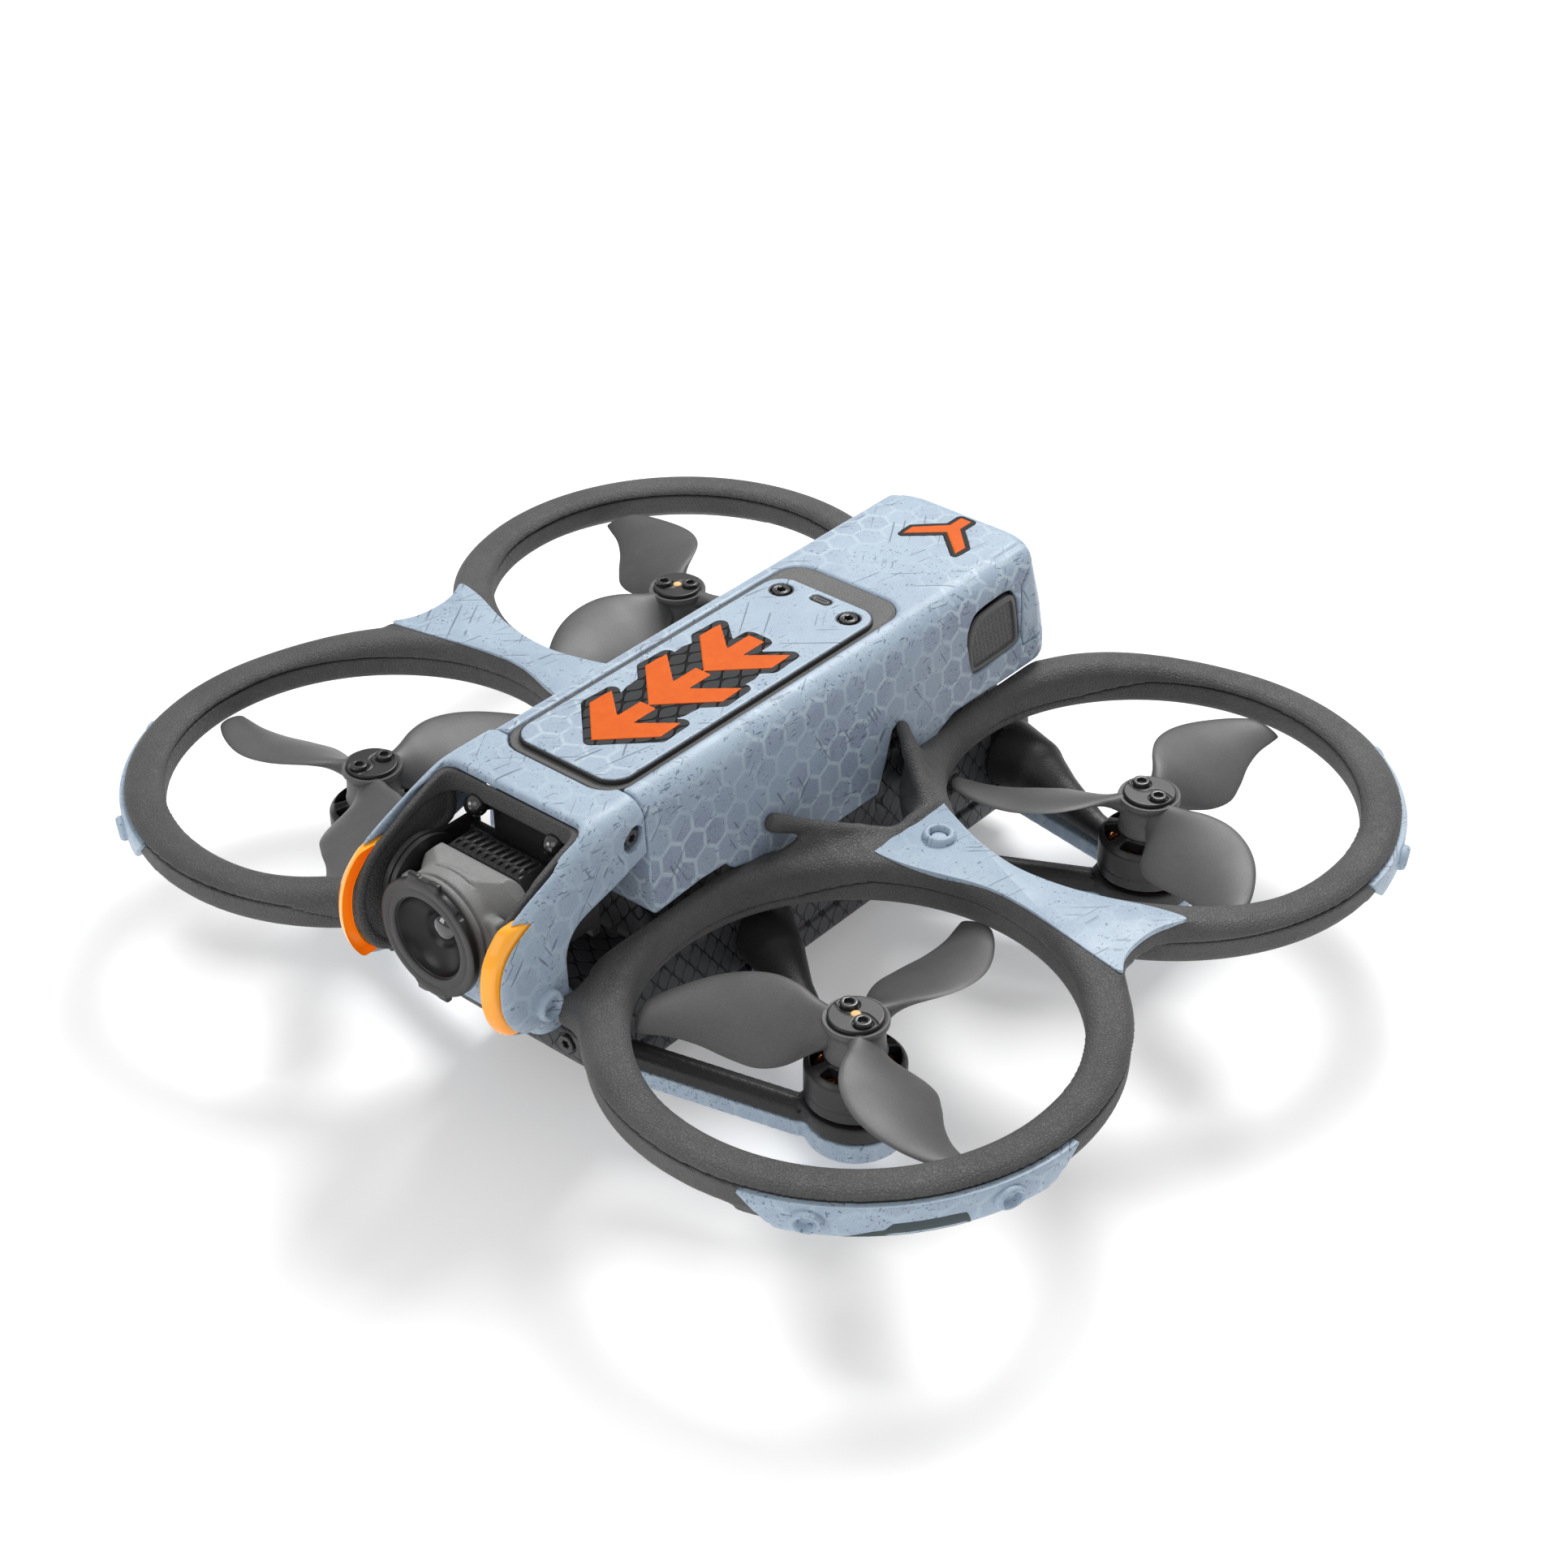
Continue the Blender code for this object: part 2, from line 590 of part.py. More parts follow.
def blade(handed, start):
    """One twisted blade along the angle start; handed is +1 or -1 for the turning sense."""
    # radius, chord, pitch in degrees, sweep
    stations = (
        (3.6, 6.4, 44.0, 0.0), (7.0, 9.8, 36.0, 0.3), (11.0, 15.4, 27.0, 0.6),
        (15.0, 18.4, 22.0, 0.4), (20.0, 18.0, 19.0, -0.3), (26.0, 14.8, 16.5, -0.5),
        (31.0, 11.4, 15.0, 0.7), (34.5, 9.0, 14.0, 2.4), (PROP_RADIUS - 0.7, 6.4, 13.0, 3.9),
    )
    section = ((-0.5, 0.0), (-0.2, 1.0), (0.2, 0.8), (0.5, 0.0), (0.2, -0.1), (-0.2, 0.1))
    rings = []
    for radius, chord, pitch, sweep in stations:
        thickness = max(1.5 * (1 - radius / 60), 0.8)
        cosine, sine = math.cos(math.radians(pitch)), math.sin(math.radians(pitch))
        points = []
        for along, up in section:
            flat = along * chord * cosine + up * thickness * sine + sweep
            height = up * thickness * cosine - along * chord * sine
            points.append((radius, handed * flat, BLADE_HEIGHT + height))
        rings.append(points)
    made = loft(rings)
    turn = Matrix.Rotation(math.radians(start), 3, "Z")
    bmesh.ops.rotate(made, verts=made.verts, cent=(0, 0, 0), matrix=turn)
    return made


def make_rotor(name, side, end, start):
    """Stator, rotor bell, three-blade propeller and its clamp, all on one vertical axis."""
    x, y = side * ROTOR_X, end * ROTOR_Y
    center = (x, y)
    axis_point = (x, y, HUB_TOP)

    teeth = []
    for tooth in range(9):
        for offset, radius in ((-13, 7.3), (-6, 7.3), (6, 7.3), (13, 7.3), (17, 5.6), (23, 5.6)):
            angle = math.radians(40 * tooth + offset)
            teeth.append((x + radius * math.cos(angle), y + radius * math.sin(angle)))
    stator = new_object(f"stator_{name}", prism(teeth, 16.5, 22.6), COPPER)
    join(stator, [cylinder(2.8, 12.9, 17.5, center, "Z", 16)])
    cut(stator, [cylinder(1.4, 10, 25, center, "Z", 12)])
    shade(stator)

    profile = [
        (0, 30.6), (2.3, 30.6), (2.3, 25.4), (4.8, 25.3), (8.1, 24.6), (9.0, 23.4),
        (9.0, 16.8), (8.0, 16.8), (8.0, 23.2), (1.1, 23.2), (1.1, 17.8), (0, 17.8),
    ]
    bell = new_object(f"rotor_bell_{name}", turned(profile, center, 18), BLACK)
    windows = []
    for window in range(6):
        middle = math.radians(60 * window + 12)
        spread = math.radians(17)
        outline = []
        for radius, turn in ((5.6, -spread), (10.5, -spread), (10.5, spread), (5.6, spread)):
            angle = middle + turn
            outline.append((x + radius * math.cos(angle), y + radius * math.sin(angle)))
        windows.append(prism(outline, 22.0, 27.0))
    cut(bell, windows)
    set_origin(shade(bell), axis_point)

    handed = -side * end
    hub = [(0, 33.1), (5.0, 33.1), (5.6, 32.5), (5.6, HUB_BOTTOM), (2.7, HUB_BOTTOM), (2.7, 31.0), (0, 31.0)]
    propeller = new_object(f"propeller_{name}", turned(hub, (0, 0), 18), GRAPHITE)
    join(propeller, [blade(handed, start + 120 * step) for step in range(3)])
    cut(propeller, [cylinder(2.7, 20, 31.0, (0, 0), "Z", 18)])
    propeller.data.transform(Matrix.Translation(Vector((x, y, 0)) * MM))
    set_origin(shade(propeller), axis_point)

    clamp = new_object(f"propeller_clamp_{name}", cylinder(4.7, 33.4, 33.9, center, "Z", 16), STEEL)
    turn = math.radians(start + 40)
    for half_turn in (0, math.pi):
        head = (x + 2.9 * math.cos(turn + half_turn), y + 2.9 * math.sin(turn + half_turn))
        join(clamp, [cylinder(1.6, 33.6, 34.6, head, "Z", 8)])
    set_origin(shade(clamp), axis_point)


def make_camera():
    """Tilting camera: front housing, ribbed rear cover, lens ring and glass, and the tilt motor."""
    axis_point = (0, TILT_Y, TILT_Z)
    lens_center = (LENS_X, LENS_Z)
    half = CAMERA_HALF_WIDTH
    front = rounded_rectangle((-half + 1.4, 36.2), (half, 54.8), 5.0, 4)
    housing = new_object("camera_housing", prism(front, -80.2, -71.6, "Y"), GRAPHITE)
    barrel = cylinder(10.2, -83.0, -79.0, lens_center, "Y", 32)
    pivot_pin = cylinder(1.6, half - 1, half + 1.6, (TILT_Y, TILT_Z), "X", 12)
    join(housing, [barrel, pivot_pin])
    cut(housing, [cylinder(7.9, -90, -81.6, lens_center, "Y", 28)])
    set_origin(shade(housing), axis_point)

    rear = rounded_rectangle((-half + 1.4, 36.4), (half, 54.6), 5.0, 4)
    cover = new_object("camera_rear_cover", prism(rear, -71.2, -64.2, "Y"), BLACK)
    ribs = [box((-6 + 2.6 * step, -70.8, 54.0), (-4.9 + 2.6 * step, -65.0, 55.4)) for step in range(5)]
    cut(cover, ribs)
    set_origin(shade(cover), axis_point)

    profile = circle(LENS_RING_RADIUS, 36, lens_center)
    ring = new_object("lens_filter_ring", prism(profile, LENS_FRONT, -83.3, "Y"), GRAPHITE)
    for tab_bottom in (LENS_Z + 10.6, LENS_Z - 11.7):
        join(ring, [box((-3.6, LENS_FRONT + 0.2, tab_bottom), (3.6, -83.5, tab_bottom + 1.1))])
    cut(ring, [cylinder(8.4, -90, -80, lens_center, "Y", 32)])
    set_origin(shade(ring), axis_point)

    glass_rings = []
    for radius, level in ((7.6, -81.9), (7.6, -82.9), (6.4, -83.4), (4.0, -83.8)):
        glass_rings.append([(a, level, b) for a, b in circle(radius, 28, lens_center)])
    glass = new_object("lens_glass", loft(glass_rings), GLASS)
    set_origin(shade(glass, 60), axis_point)

    motor = cylinder(8.6, -13.9, -11.3, (TILT_Y, TILT_Z), "X", 32)
    set_origin(shade(new_object("tilt_motor", motor, BLACK)), axis_point)

    yoke_side = [
        (-76.8, 43.0), (-76.8, 47.6), (-70.0, 48.6), (-57.8, 48.6), (-57.8, 38.0), (-70.0, 40.0),
    ]
    yoke = new_object("gimbal_bracket", prism(yoke_side, 12.8, 14.9, "X"), BLACK)
    join(yoke, [prism(yoke_side, -14.9, -14.2, "X"), box((-14.9, -60.0, 38.0), (14.9, -57.8, 48.6))])
    mast = [
        (-59.9, 48.0), (-59.4, 56.6), (-54.4, 58.6), (-50.4, 58.6),
        (-50.4, 41.0), (-54.0, 41.0), (-57.9, 47.0),
    ]
    join(yoke, [prism(mast, -9.0, 9.0, "X")])
    cut(yoke, [cylinder(2.0, 12, 16, (TILT_Y, TILT_Z), "X", 12)])
    shade(yoke)


def make_battery():
    """Slide-out battery with its end cap, side latches, power button and level window."""
    half = BATTERY_HALF_WIDTH
    block = rounded_rectangle((-half, BATTERY_BOTTOM), (half, BATTERY_TOP), 2.4, 3)
    shade(new_object("battery_pack", prism(block, BATTERY_FRONT, SIDE_REAR, "Y"), BLACK))

    front = SIDE_REAR + GAP
    cap_side = [
        (front, CAP_BOTTOM), (75.0, CAP_BOTTOM), (75.0, 60.0), (60.7, 60.0), (58.6, 58.9), (front, 56.8),
    ]
    cap = new_object("battery_end_cap", prism(cap_side, -BODY_SKIRT, BODY_SKIRT, "X"), SKIN)
    keep_inside(cap, [prism(body_section(bottom=CAP_BOTTOM), 50, 80, "Y"), rear_envelope()])
    button_center = (-6.0, 51.0)
    cut(cap, [cylinder(3.4, 63.8, 80, button_center, "Y", 24)])
    cut(cap, [prism(rounded_rectangle((2.0, 49.9), (12.4, 52.1), 1.0, 3), 65.2, 80, "Y")])
    shade(cap)
    button_face = 68.2
    button = new_object("power_button", cylinder(3.0, 65.0, button_face, button_center, "Y", 24), GRAPHITE)
    set_origin(shade(button), (button_center[0], button_face, button_center[1]))
    pane = rounded_rectangle((2.3, 50.2), (12.1, 51.8), 0.7, 3)
    shade(new_object("battery_level_window", prism(pane, 65.5, 66.9, "Y"), GLASS))

    latch_outline = [
        (39.2, 45.6), (39.0, 52.6), (40.8, 55.0), (51.0, 56.8),
        (53.4, 56.2), (55.2, 47.0), (54.6, 44.9), (41.0, 44.9),
    ]
    latch_face = 19.8
    for side, name in ((1, "left"), (-1, "right")):
        low, high = sorted((side * 18.6, side * latch_face))
        made = new_object(f"battery_latch_{name}", prism(latch_outline, low, high, "X"), GRAPHITE)
        set_origin(shade(made), (side * latch_face, 47.0, 50.5))


def clear_scene():
    for made in list(bpy.data.objects):
        bpy.data.objects.remove(made)
    for mesh in list(bpy.data.meshes):
        bpy.data.meshes.remove(mesh)


def build():
    clear_scene()
    make_upper_shell()
    make_top_plate()
    make_bumper()
    make_camera_bezel()
    make_lower_shell()
    for side, name in ((1, "left"), (-1, "right")):
        make_guard(side, name)
    for name, side, end, start in CORNERS:
        make_antenna_cover(name, side, end)
        make_arm(name, side, end)
        make_rotor(name, side, end, start)
    make_camera()
    make_battery()


build()
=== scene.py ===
"""Looks of the ducted FPV drone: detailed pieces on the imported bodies, materials, light and camera.

Lengths inside the makers are in millimetres in the row frame and become metres in add_piece().
"""

import math

import bmesh
import bpy
import numpy as np
from mathutils import Matrix, Vector


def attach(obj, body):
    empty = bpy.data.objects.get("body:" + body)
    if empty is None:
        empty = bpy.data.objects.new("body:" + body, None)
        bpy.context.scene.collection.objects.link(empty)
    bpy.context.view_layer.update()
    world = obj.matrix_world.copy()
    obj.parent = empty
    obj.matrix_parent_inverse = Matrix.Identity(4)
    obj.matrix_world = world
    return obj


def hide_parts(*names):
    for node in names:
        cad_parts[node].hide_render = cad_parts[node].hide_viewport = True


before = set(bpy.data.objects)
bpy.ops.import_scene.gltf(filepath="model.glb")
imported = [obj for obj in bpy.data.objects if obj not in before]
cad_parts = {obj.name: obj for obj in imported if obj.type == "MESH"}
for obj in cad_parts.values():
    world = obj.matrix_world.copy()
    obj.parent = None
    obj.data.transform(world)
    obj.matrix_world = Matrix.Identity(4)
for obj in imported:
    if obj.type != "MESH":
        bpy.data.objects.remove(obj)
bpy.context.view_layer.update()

MM = 0.001
ROTOR_X, ROTOR_Y = 59.5, 43.2
RING_RADIUS = 42.2
RING_SEAM = 31.1
SEAM_RISE = ROOF_DROP = 2.2
DUCT_RADIUS = 37.9
ANTENNA_TURN = 40.0
TILT_Y, TILT_Z = -73.2, 45.6
LENS_X, LENS_Z = 0.1, 45.0
SLANT = 0.7071
CORNERS = (
    ("front_left", 1, -1, 88.0),
    ("front_right", -1, -1, 192.0),
    ("rear_left", 1, 1, 93.0),
    ("rear_right", -1, 1, 146.0),
)
SIDES = ((1, "left"), (-1, "right"))


# ---------------------------------------------------------------- distance fields

class Grid:
    """Sample points of a box; x, y and z broadcast against each other."""

    def __init__(self, low, high, step):
        self.low, self.step = np.array(low, float), step
        axes = [np.arange(a, b + step, step) for a, b in zip(low, high)]
        self.x = axes[0][:, None, None]
        self.y = axes[1][None, :, None]
        self.z = axes[2][None, None, :]
        self.shape = tuple(len(axis) for axis in axes)


def round_box(p, center, half, radius=0.0):
    q = [np.abs(a - c) - h + radius for a, c, h in zip(p, center, half)]
    outside = np.sqrt(sum(np.maximum(a, 0.0) ** 2 for a in q))
    inside = np.minimum(np.maximum.reduce(np.broadcast_arrays(*q)), 0.0)
    return outside + inside - radius


def capsule(p, a, b, radius_a, radius_b=None):
    radius_b = radius_a if radius_b is None else radius_b
    span = np.subtract(b, a)
    along = sum((q - o) * s for q, o, s in zip(p, a, span)) / float(span @ span)
    along = np.clip(along, 0.0, 1.0)
    gap = np.sqrt(sum((q - o - along * s) ** 2 for q, o, s in zip(p, a, span)))
    return gap - radius_a - (radius_b - radius_a) * along


def polyline(p, points, radii):
    field = None
    for a, b, ra, rb in zip(points, points[1:], radii, radii[1:]):
        part = capsule(p, a, b, ra, rb)
        field = part if field is None else np.minimum(field, part)
    return field


def polygon(u, v, points):
    """Signed distance to a flat outline, negative inside."""
    points = np.array(points, float)
    nearest = None
    inside = np.zeros(np.broadcast(u, v).shape, bool)
    for (ax, ay), (bx, by) in zip(points, np.roll(points, -1, 0)):
        ex, ey = bx - ax, by - ay
        wx, wy = u - ax, v - ay
        along = np.clip((wx * ex + wy * ey) / (ex * ex + ey * ey), 0.0, 1.0)
        gap = (wx - ex * along) ** 2 + (wy - ey * along) ** 2
        nearest = gap if nearest is None else np.minimum(nearest, gap)
        if ay != by:
            crosses = ((ay > v) != (by > v)) & (u < ex * (v - ay) / ey + ax)
            inside ^= crosses
    return np.where(inside, -1.0, 1.0) * np.sqrt(nearest)


def triangle(p, a, b, c):
    """Distance to a triangle in space."""
    a, b, c = (np.array(q, float) for q in (a, b, c))
    normal = np.cross(b - a, c - a)

    def dot(q, w):
        return q[0] * w[0] + q[1] * w[1] + q[2] * w[2]

    best, same = None, None
    for s, e in ((a, b), (b, c), (c, a)):
        edge = e - s
        rel = [p[i] - s[i] for i in range(3)]
        along = np.clip(dot(rel, edge) / (edge @ edge), 0.0, 1.0)
        gap = sum((rel[i] - edge[i] * along) ** 2 for i in range(3))
        best = gap if best is None else np.minimum(best, gap)
        sign = dot(rel, np.cross(edge, normal)) < 0
        same = sign if same is None else same & sign
    plane = dot([p[i] - a[i] for i in range(3)], normal) ** 2 / (normal @ normal)
    return np.sqrt(np.where(same, plane, best))


def union(a, b, k=0.0):
    if not k:
        return np.minimum(a, b)
    h = np.maximum(k - np.abs(a - b), 0.0) / k
    return np.minimum(a, b) - h * h * k * 0.25


def carve(a, b, k=0.0):
    return -union(-a, b, k)


def rounded(a, b, radius):
    """Intersection of two fields with its edge rounded."""
    a, b = a + radius, b + radius
    outside = np.sqrt(np.maximum(a, 0) ** 2 + np.maximum(b, 0) ** 2)
    return outside + np.minimum(np.maximum(a, b), 0) - radius


def lowest(*fields):
    return np.minimum.reduce(np.broadcast_arrays(*fields))


def highest(*fields):
    return np.maximum.reduce(np.broadcast_arrays(*fields))


def without(field, *tools):
    """Take the tools' shapes out of the field."""
    return np.maximum(field, -lowest(*tools))


def slab(w, low, high):
    return np.abs(w - (low + high) / 2) - (high - low) / 2


def blur(field, passes):
    """Round edges by repeated [1 2 1] smoothing."""
    for _ in range(passes):
        for axis in range(3):
            pad = [(1, 1) if i == axis else (0, 0) for i in range(3)]
            wide = np.pad(field, pad, "edge")
            count = field.shape[axis]
            cut = [[slice(None)] * 3 for _ in range(3)]
            for shift in range(3):
                cut[shift][axis] = slice(shift, shift + count)
            field = 0.25 * wide[tuple(cut[0])] + 0.5 * wide[tuple(cut[1])] + 0.25 * wide[tuple(cut[2])]
    return field


def surface(grid, field):
    """Quads of the zero surface: one vertex in each cell that it crosses."""
    field = np.broadcast_to(field, grid.shape).astype(float)
    field = np.where(field == 0, 1e-6, field)
    solid = field < 0
    cells = tuple(n - 1 for n in grid.shape)

    def corner(values, offset):
        return values[tuple(slice(o, o + n) for o, n in zip(offset, cells))]

    offsets = [(i, j, k) for i in (0, 1) for j in (0, 1) for k in (0, 1)]
    filled = sum(corner(solid, o).astype(np.int8) for o in offsets)
    active = (filled > 0) & (filled < 8)
    where = np.argwhere(active)
    number = np.full(cells, -1, np.int64)
    number[active] = np.arange(len(where))
    total = np.zeros((len(where), 3))
    count = np.zeros(len(where))
    for axis in range(3):
        for offset in offsets:
            if offset[axis]:
                continue
            end = list(offset)
            end[axis] = 1
            a = corner(field, offset)[active]
            b = corner(field, tuple(end))[active]
            crossing = (a < 0) != (b < 0)
            share = np.where(crossing, a / np.where(crossing, a - b, 1.0), 0.0)
            place = np.array(offset, float) + share[:, None] * np.eye(3)[axis]
            total += place * crossing[:, None]
            count += crossing
    verts = grid.low + (where + total / count[:, None]) * grid.step
    faces = []
    for axis in range(3):
        u, v = [(1, 2), (2, 0), (0, 1)][axis]
        low = [slice(1, n - 1) for n in grid.shape]
        high = list(low)
        low[axis], high[axis] = slice(0, grid.shape[axis] - 1), slice(1, None)
        a, b = solid[tuple(low)], solid[tuple(high)]
        spots = np.argwhere(a != b)
        first = a[a != b]
        base = spots + 1
        base[:, axis] -= 1
        quad = []
        for du, dv in ((-1, -1), (0, -1), (0, 0), (-1, 0)):
            cell = base.copy()
            cell[:, u] += du
            cell[:, v] += dv
            quad.append(number[cell[:, 0], cell[:, 1], cell[:, 2]])
        quad = np.stack(quad, 1)
        quad[~first] = quad[~first][:, ::-1]
        faces.append(quad)
    return verts, np.concatenate(faces)


# ---------------------------------------------------------------- pieces

def add_piece(name, verts, faces, finish, body, nodes=(), sharp=None):
    """Link a mesh given in millimetres, and ride it on a body."""
    mesh = bpy.data.meshes.new(name)
    mesh.from_pydata((np.asarray(verts, float) * MM).tolist(), [], np.asarray(faces).tolist()
                     if isinstance(faces, np.ndarray) else faces)
    mesh.update()
    made = bpy.data.objects.new(name, mesh)
    bpy.context.scene.collection.objects.link(made)
    mesh.materials.append(finish)
    mesh.shade_smooth()
    if sharp:
        mesh.set_sharp_from_angle(angle=math.radians(sharp))
    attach(made, body)
    if nodes:
        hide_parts(*nodes)
    return made


def mirrored(verts, faces):
    verts = np.array(verts, float) * (-1, 1, 1)
    if isinstance(faces, np.ndarray):
        return verts, faces[:, ::-1]
    return verts, [list(reversed(face)) for face in faces]


def moved(verts, shift=(0, 0, 0), turn=0.0):
    c, s = math.cos(math.radians(turn)), math.sin(math.radians(turn))
    verts = np.array(verts, float)
    x, y = verts[:, 0] * c - verts[:, 1] * s, verts[:, 0] * s + verts[:, 1] * c
    return np.stack([x, y, verts[:, 2]], 1) + np.array(shift)


class Solid:
    """A bmesh in millimetres with the shapes that trim pieces need."""

    def __init__(self):
        self.bm = bmesh.new()

    def loft(self, rings, caps=True, closed=False):
        rows = [[self.bm.verts.new(p) for p in ring] for ring in rings]
        pairs = list(zip(rows, rows[1:]))
        if closed:
            pairs.append((rows[-1], rows[0]))
        n = len(rows[0])
        for low, high in pairs:
            for i in range(n):
                j = (i + 1) % n
                self.bm.faces.new((low[i], low[j], high[j], high[i]))
        if caps and not closed:
            self.bm.faces.new(rows[0][::-1])
            self.bm.faces.new(rows[-1])
        return self

    def turned(self, profile, count=64, origin=(0, 0, 0), axis="Z", closed=False):
        """Turn (radius, level) points; an end with radius 0 is closed to a point."""
        rings = []
        for radius, level in profile:
            ring = []
            for i in range(count):
                a = 2 * math.pi * i / count
                u, v = max(radius, 1e-4) * math.cos(a), max(radius, 1e-4) * math.sin(a)
                q = {"Z": (u, v, level), "Y": (v, level, u), "X": (level, u, v)}[axis]
                ring.append(tuple(a + b for a, b in zip(q, origin)))
            rings.append(ring)
        return self.loft(rings, closed=closed)

    def prism(self, outline, low, high, axis="Z"):
        place = {"Z": lambda a, b, w: (a, b, w), "Y": lambda a, b, w: (a, w, b),
            "X": lambda a, b, w: (w, a, b)}[axis]
        return self.loft([[place(a, b, w) for a, b in outline] for w in (low, high)])

    def bevel(self, width, angle=30.0, segments=2):
        bmesh.ops.remove_doubles(self.bm, verts=self.bm.verts, dist=1e-5)
        least = math.radians(angle)
        edges = [e for e in self.bm.edges if len(e.link_faces) == 2 and e.calc_face_angle(0) > least]
        bmesh.ops.bevel(self.bm, geom=edges, offset=width, segments=segments, profile=0.5,
                        affect="EDGES", clamp_overlap=True)
        return self

    def data(self):
        bmesh.ops.remove_doubles(self.bm, verts=self.bm.verts, dist=1e-5)
        bmesh.ops.recalc_face_normals(self.bm, faces=self.bm.faces)
        self.bm.verts.index_update()
        verts = np.array([v.co[:] for v in self.bm.verts])
        faces = [[v.index for v in f.verts] for f in self.bm.faces]
        self.bm.free()
        return verts, faces


def arc(cx, cy, radius, start, end, count):
    angles = np.radians(np.linspace(start, end, count))
    return [(cx + radius * math.cos(a), cy + radius * math.sin(a)) for a in angles]


def rounded_rectangle(low, high, radius, steps=6):
    (x0, y0), (x1, y1) = low, high
    points = []
    for cx, cy, start in ((x1 - radius, y1 - radius, 0), (x0 + radius, y1 - radius, 90),
                          (x0 + radius, y0 + radius, 180), (x1 - radius, y0 + radius, 270)):
        points += arc(cx, cy, radius, start, start + 90, steps + 1)
    return points


def smooth_outline(points, rounds=3, reach=1.6):
    """Corner-cutting subdivision of a closed outline; a cut takes at most reach from an edge."""
    points = np.array(points, float)
    for _ in range(rounds):
        after = np.roll(points, -1, 0)
        length = np.linalg.norm(after - points, axis=1)[:, None]
        share = np.minimum(0.25, reach / np.maximum(length, 1e-6))
        points = np.stack([points * (1 - share) + after * share, points * share + after * (1 - share)],
            1).reshape(-1, 2)
    return points


# ---------------------------------------------------------------- materials

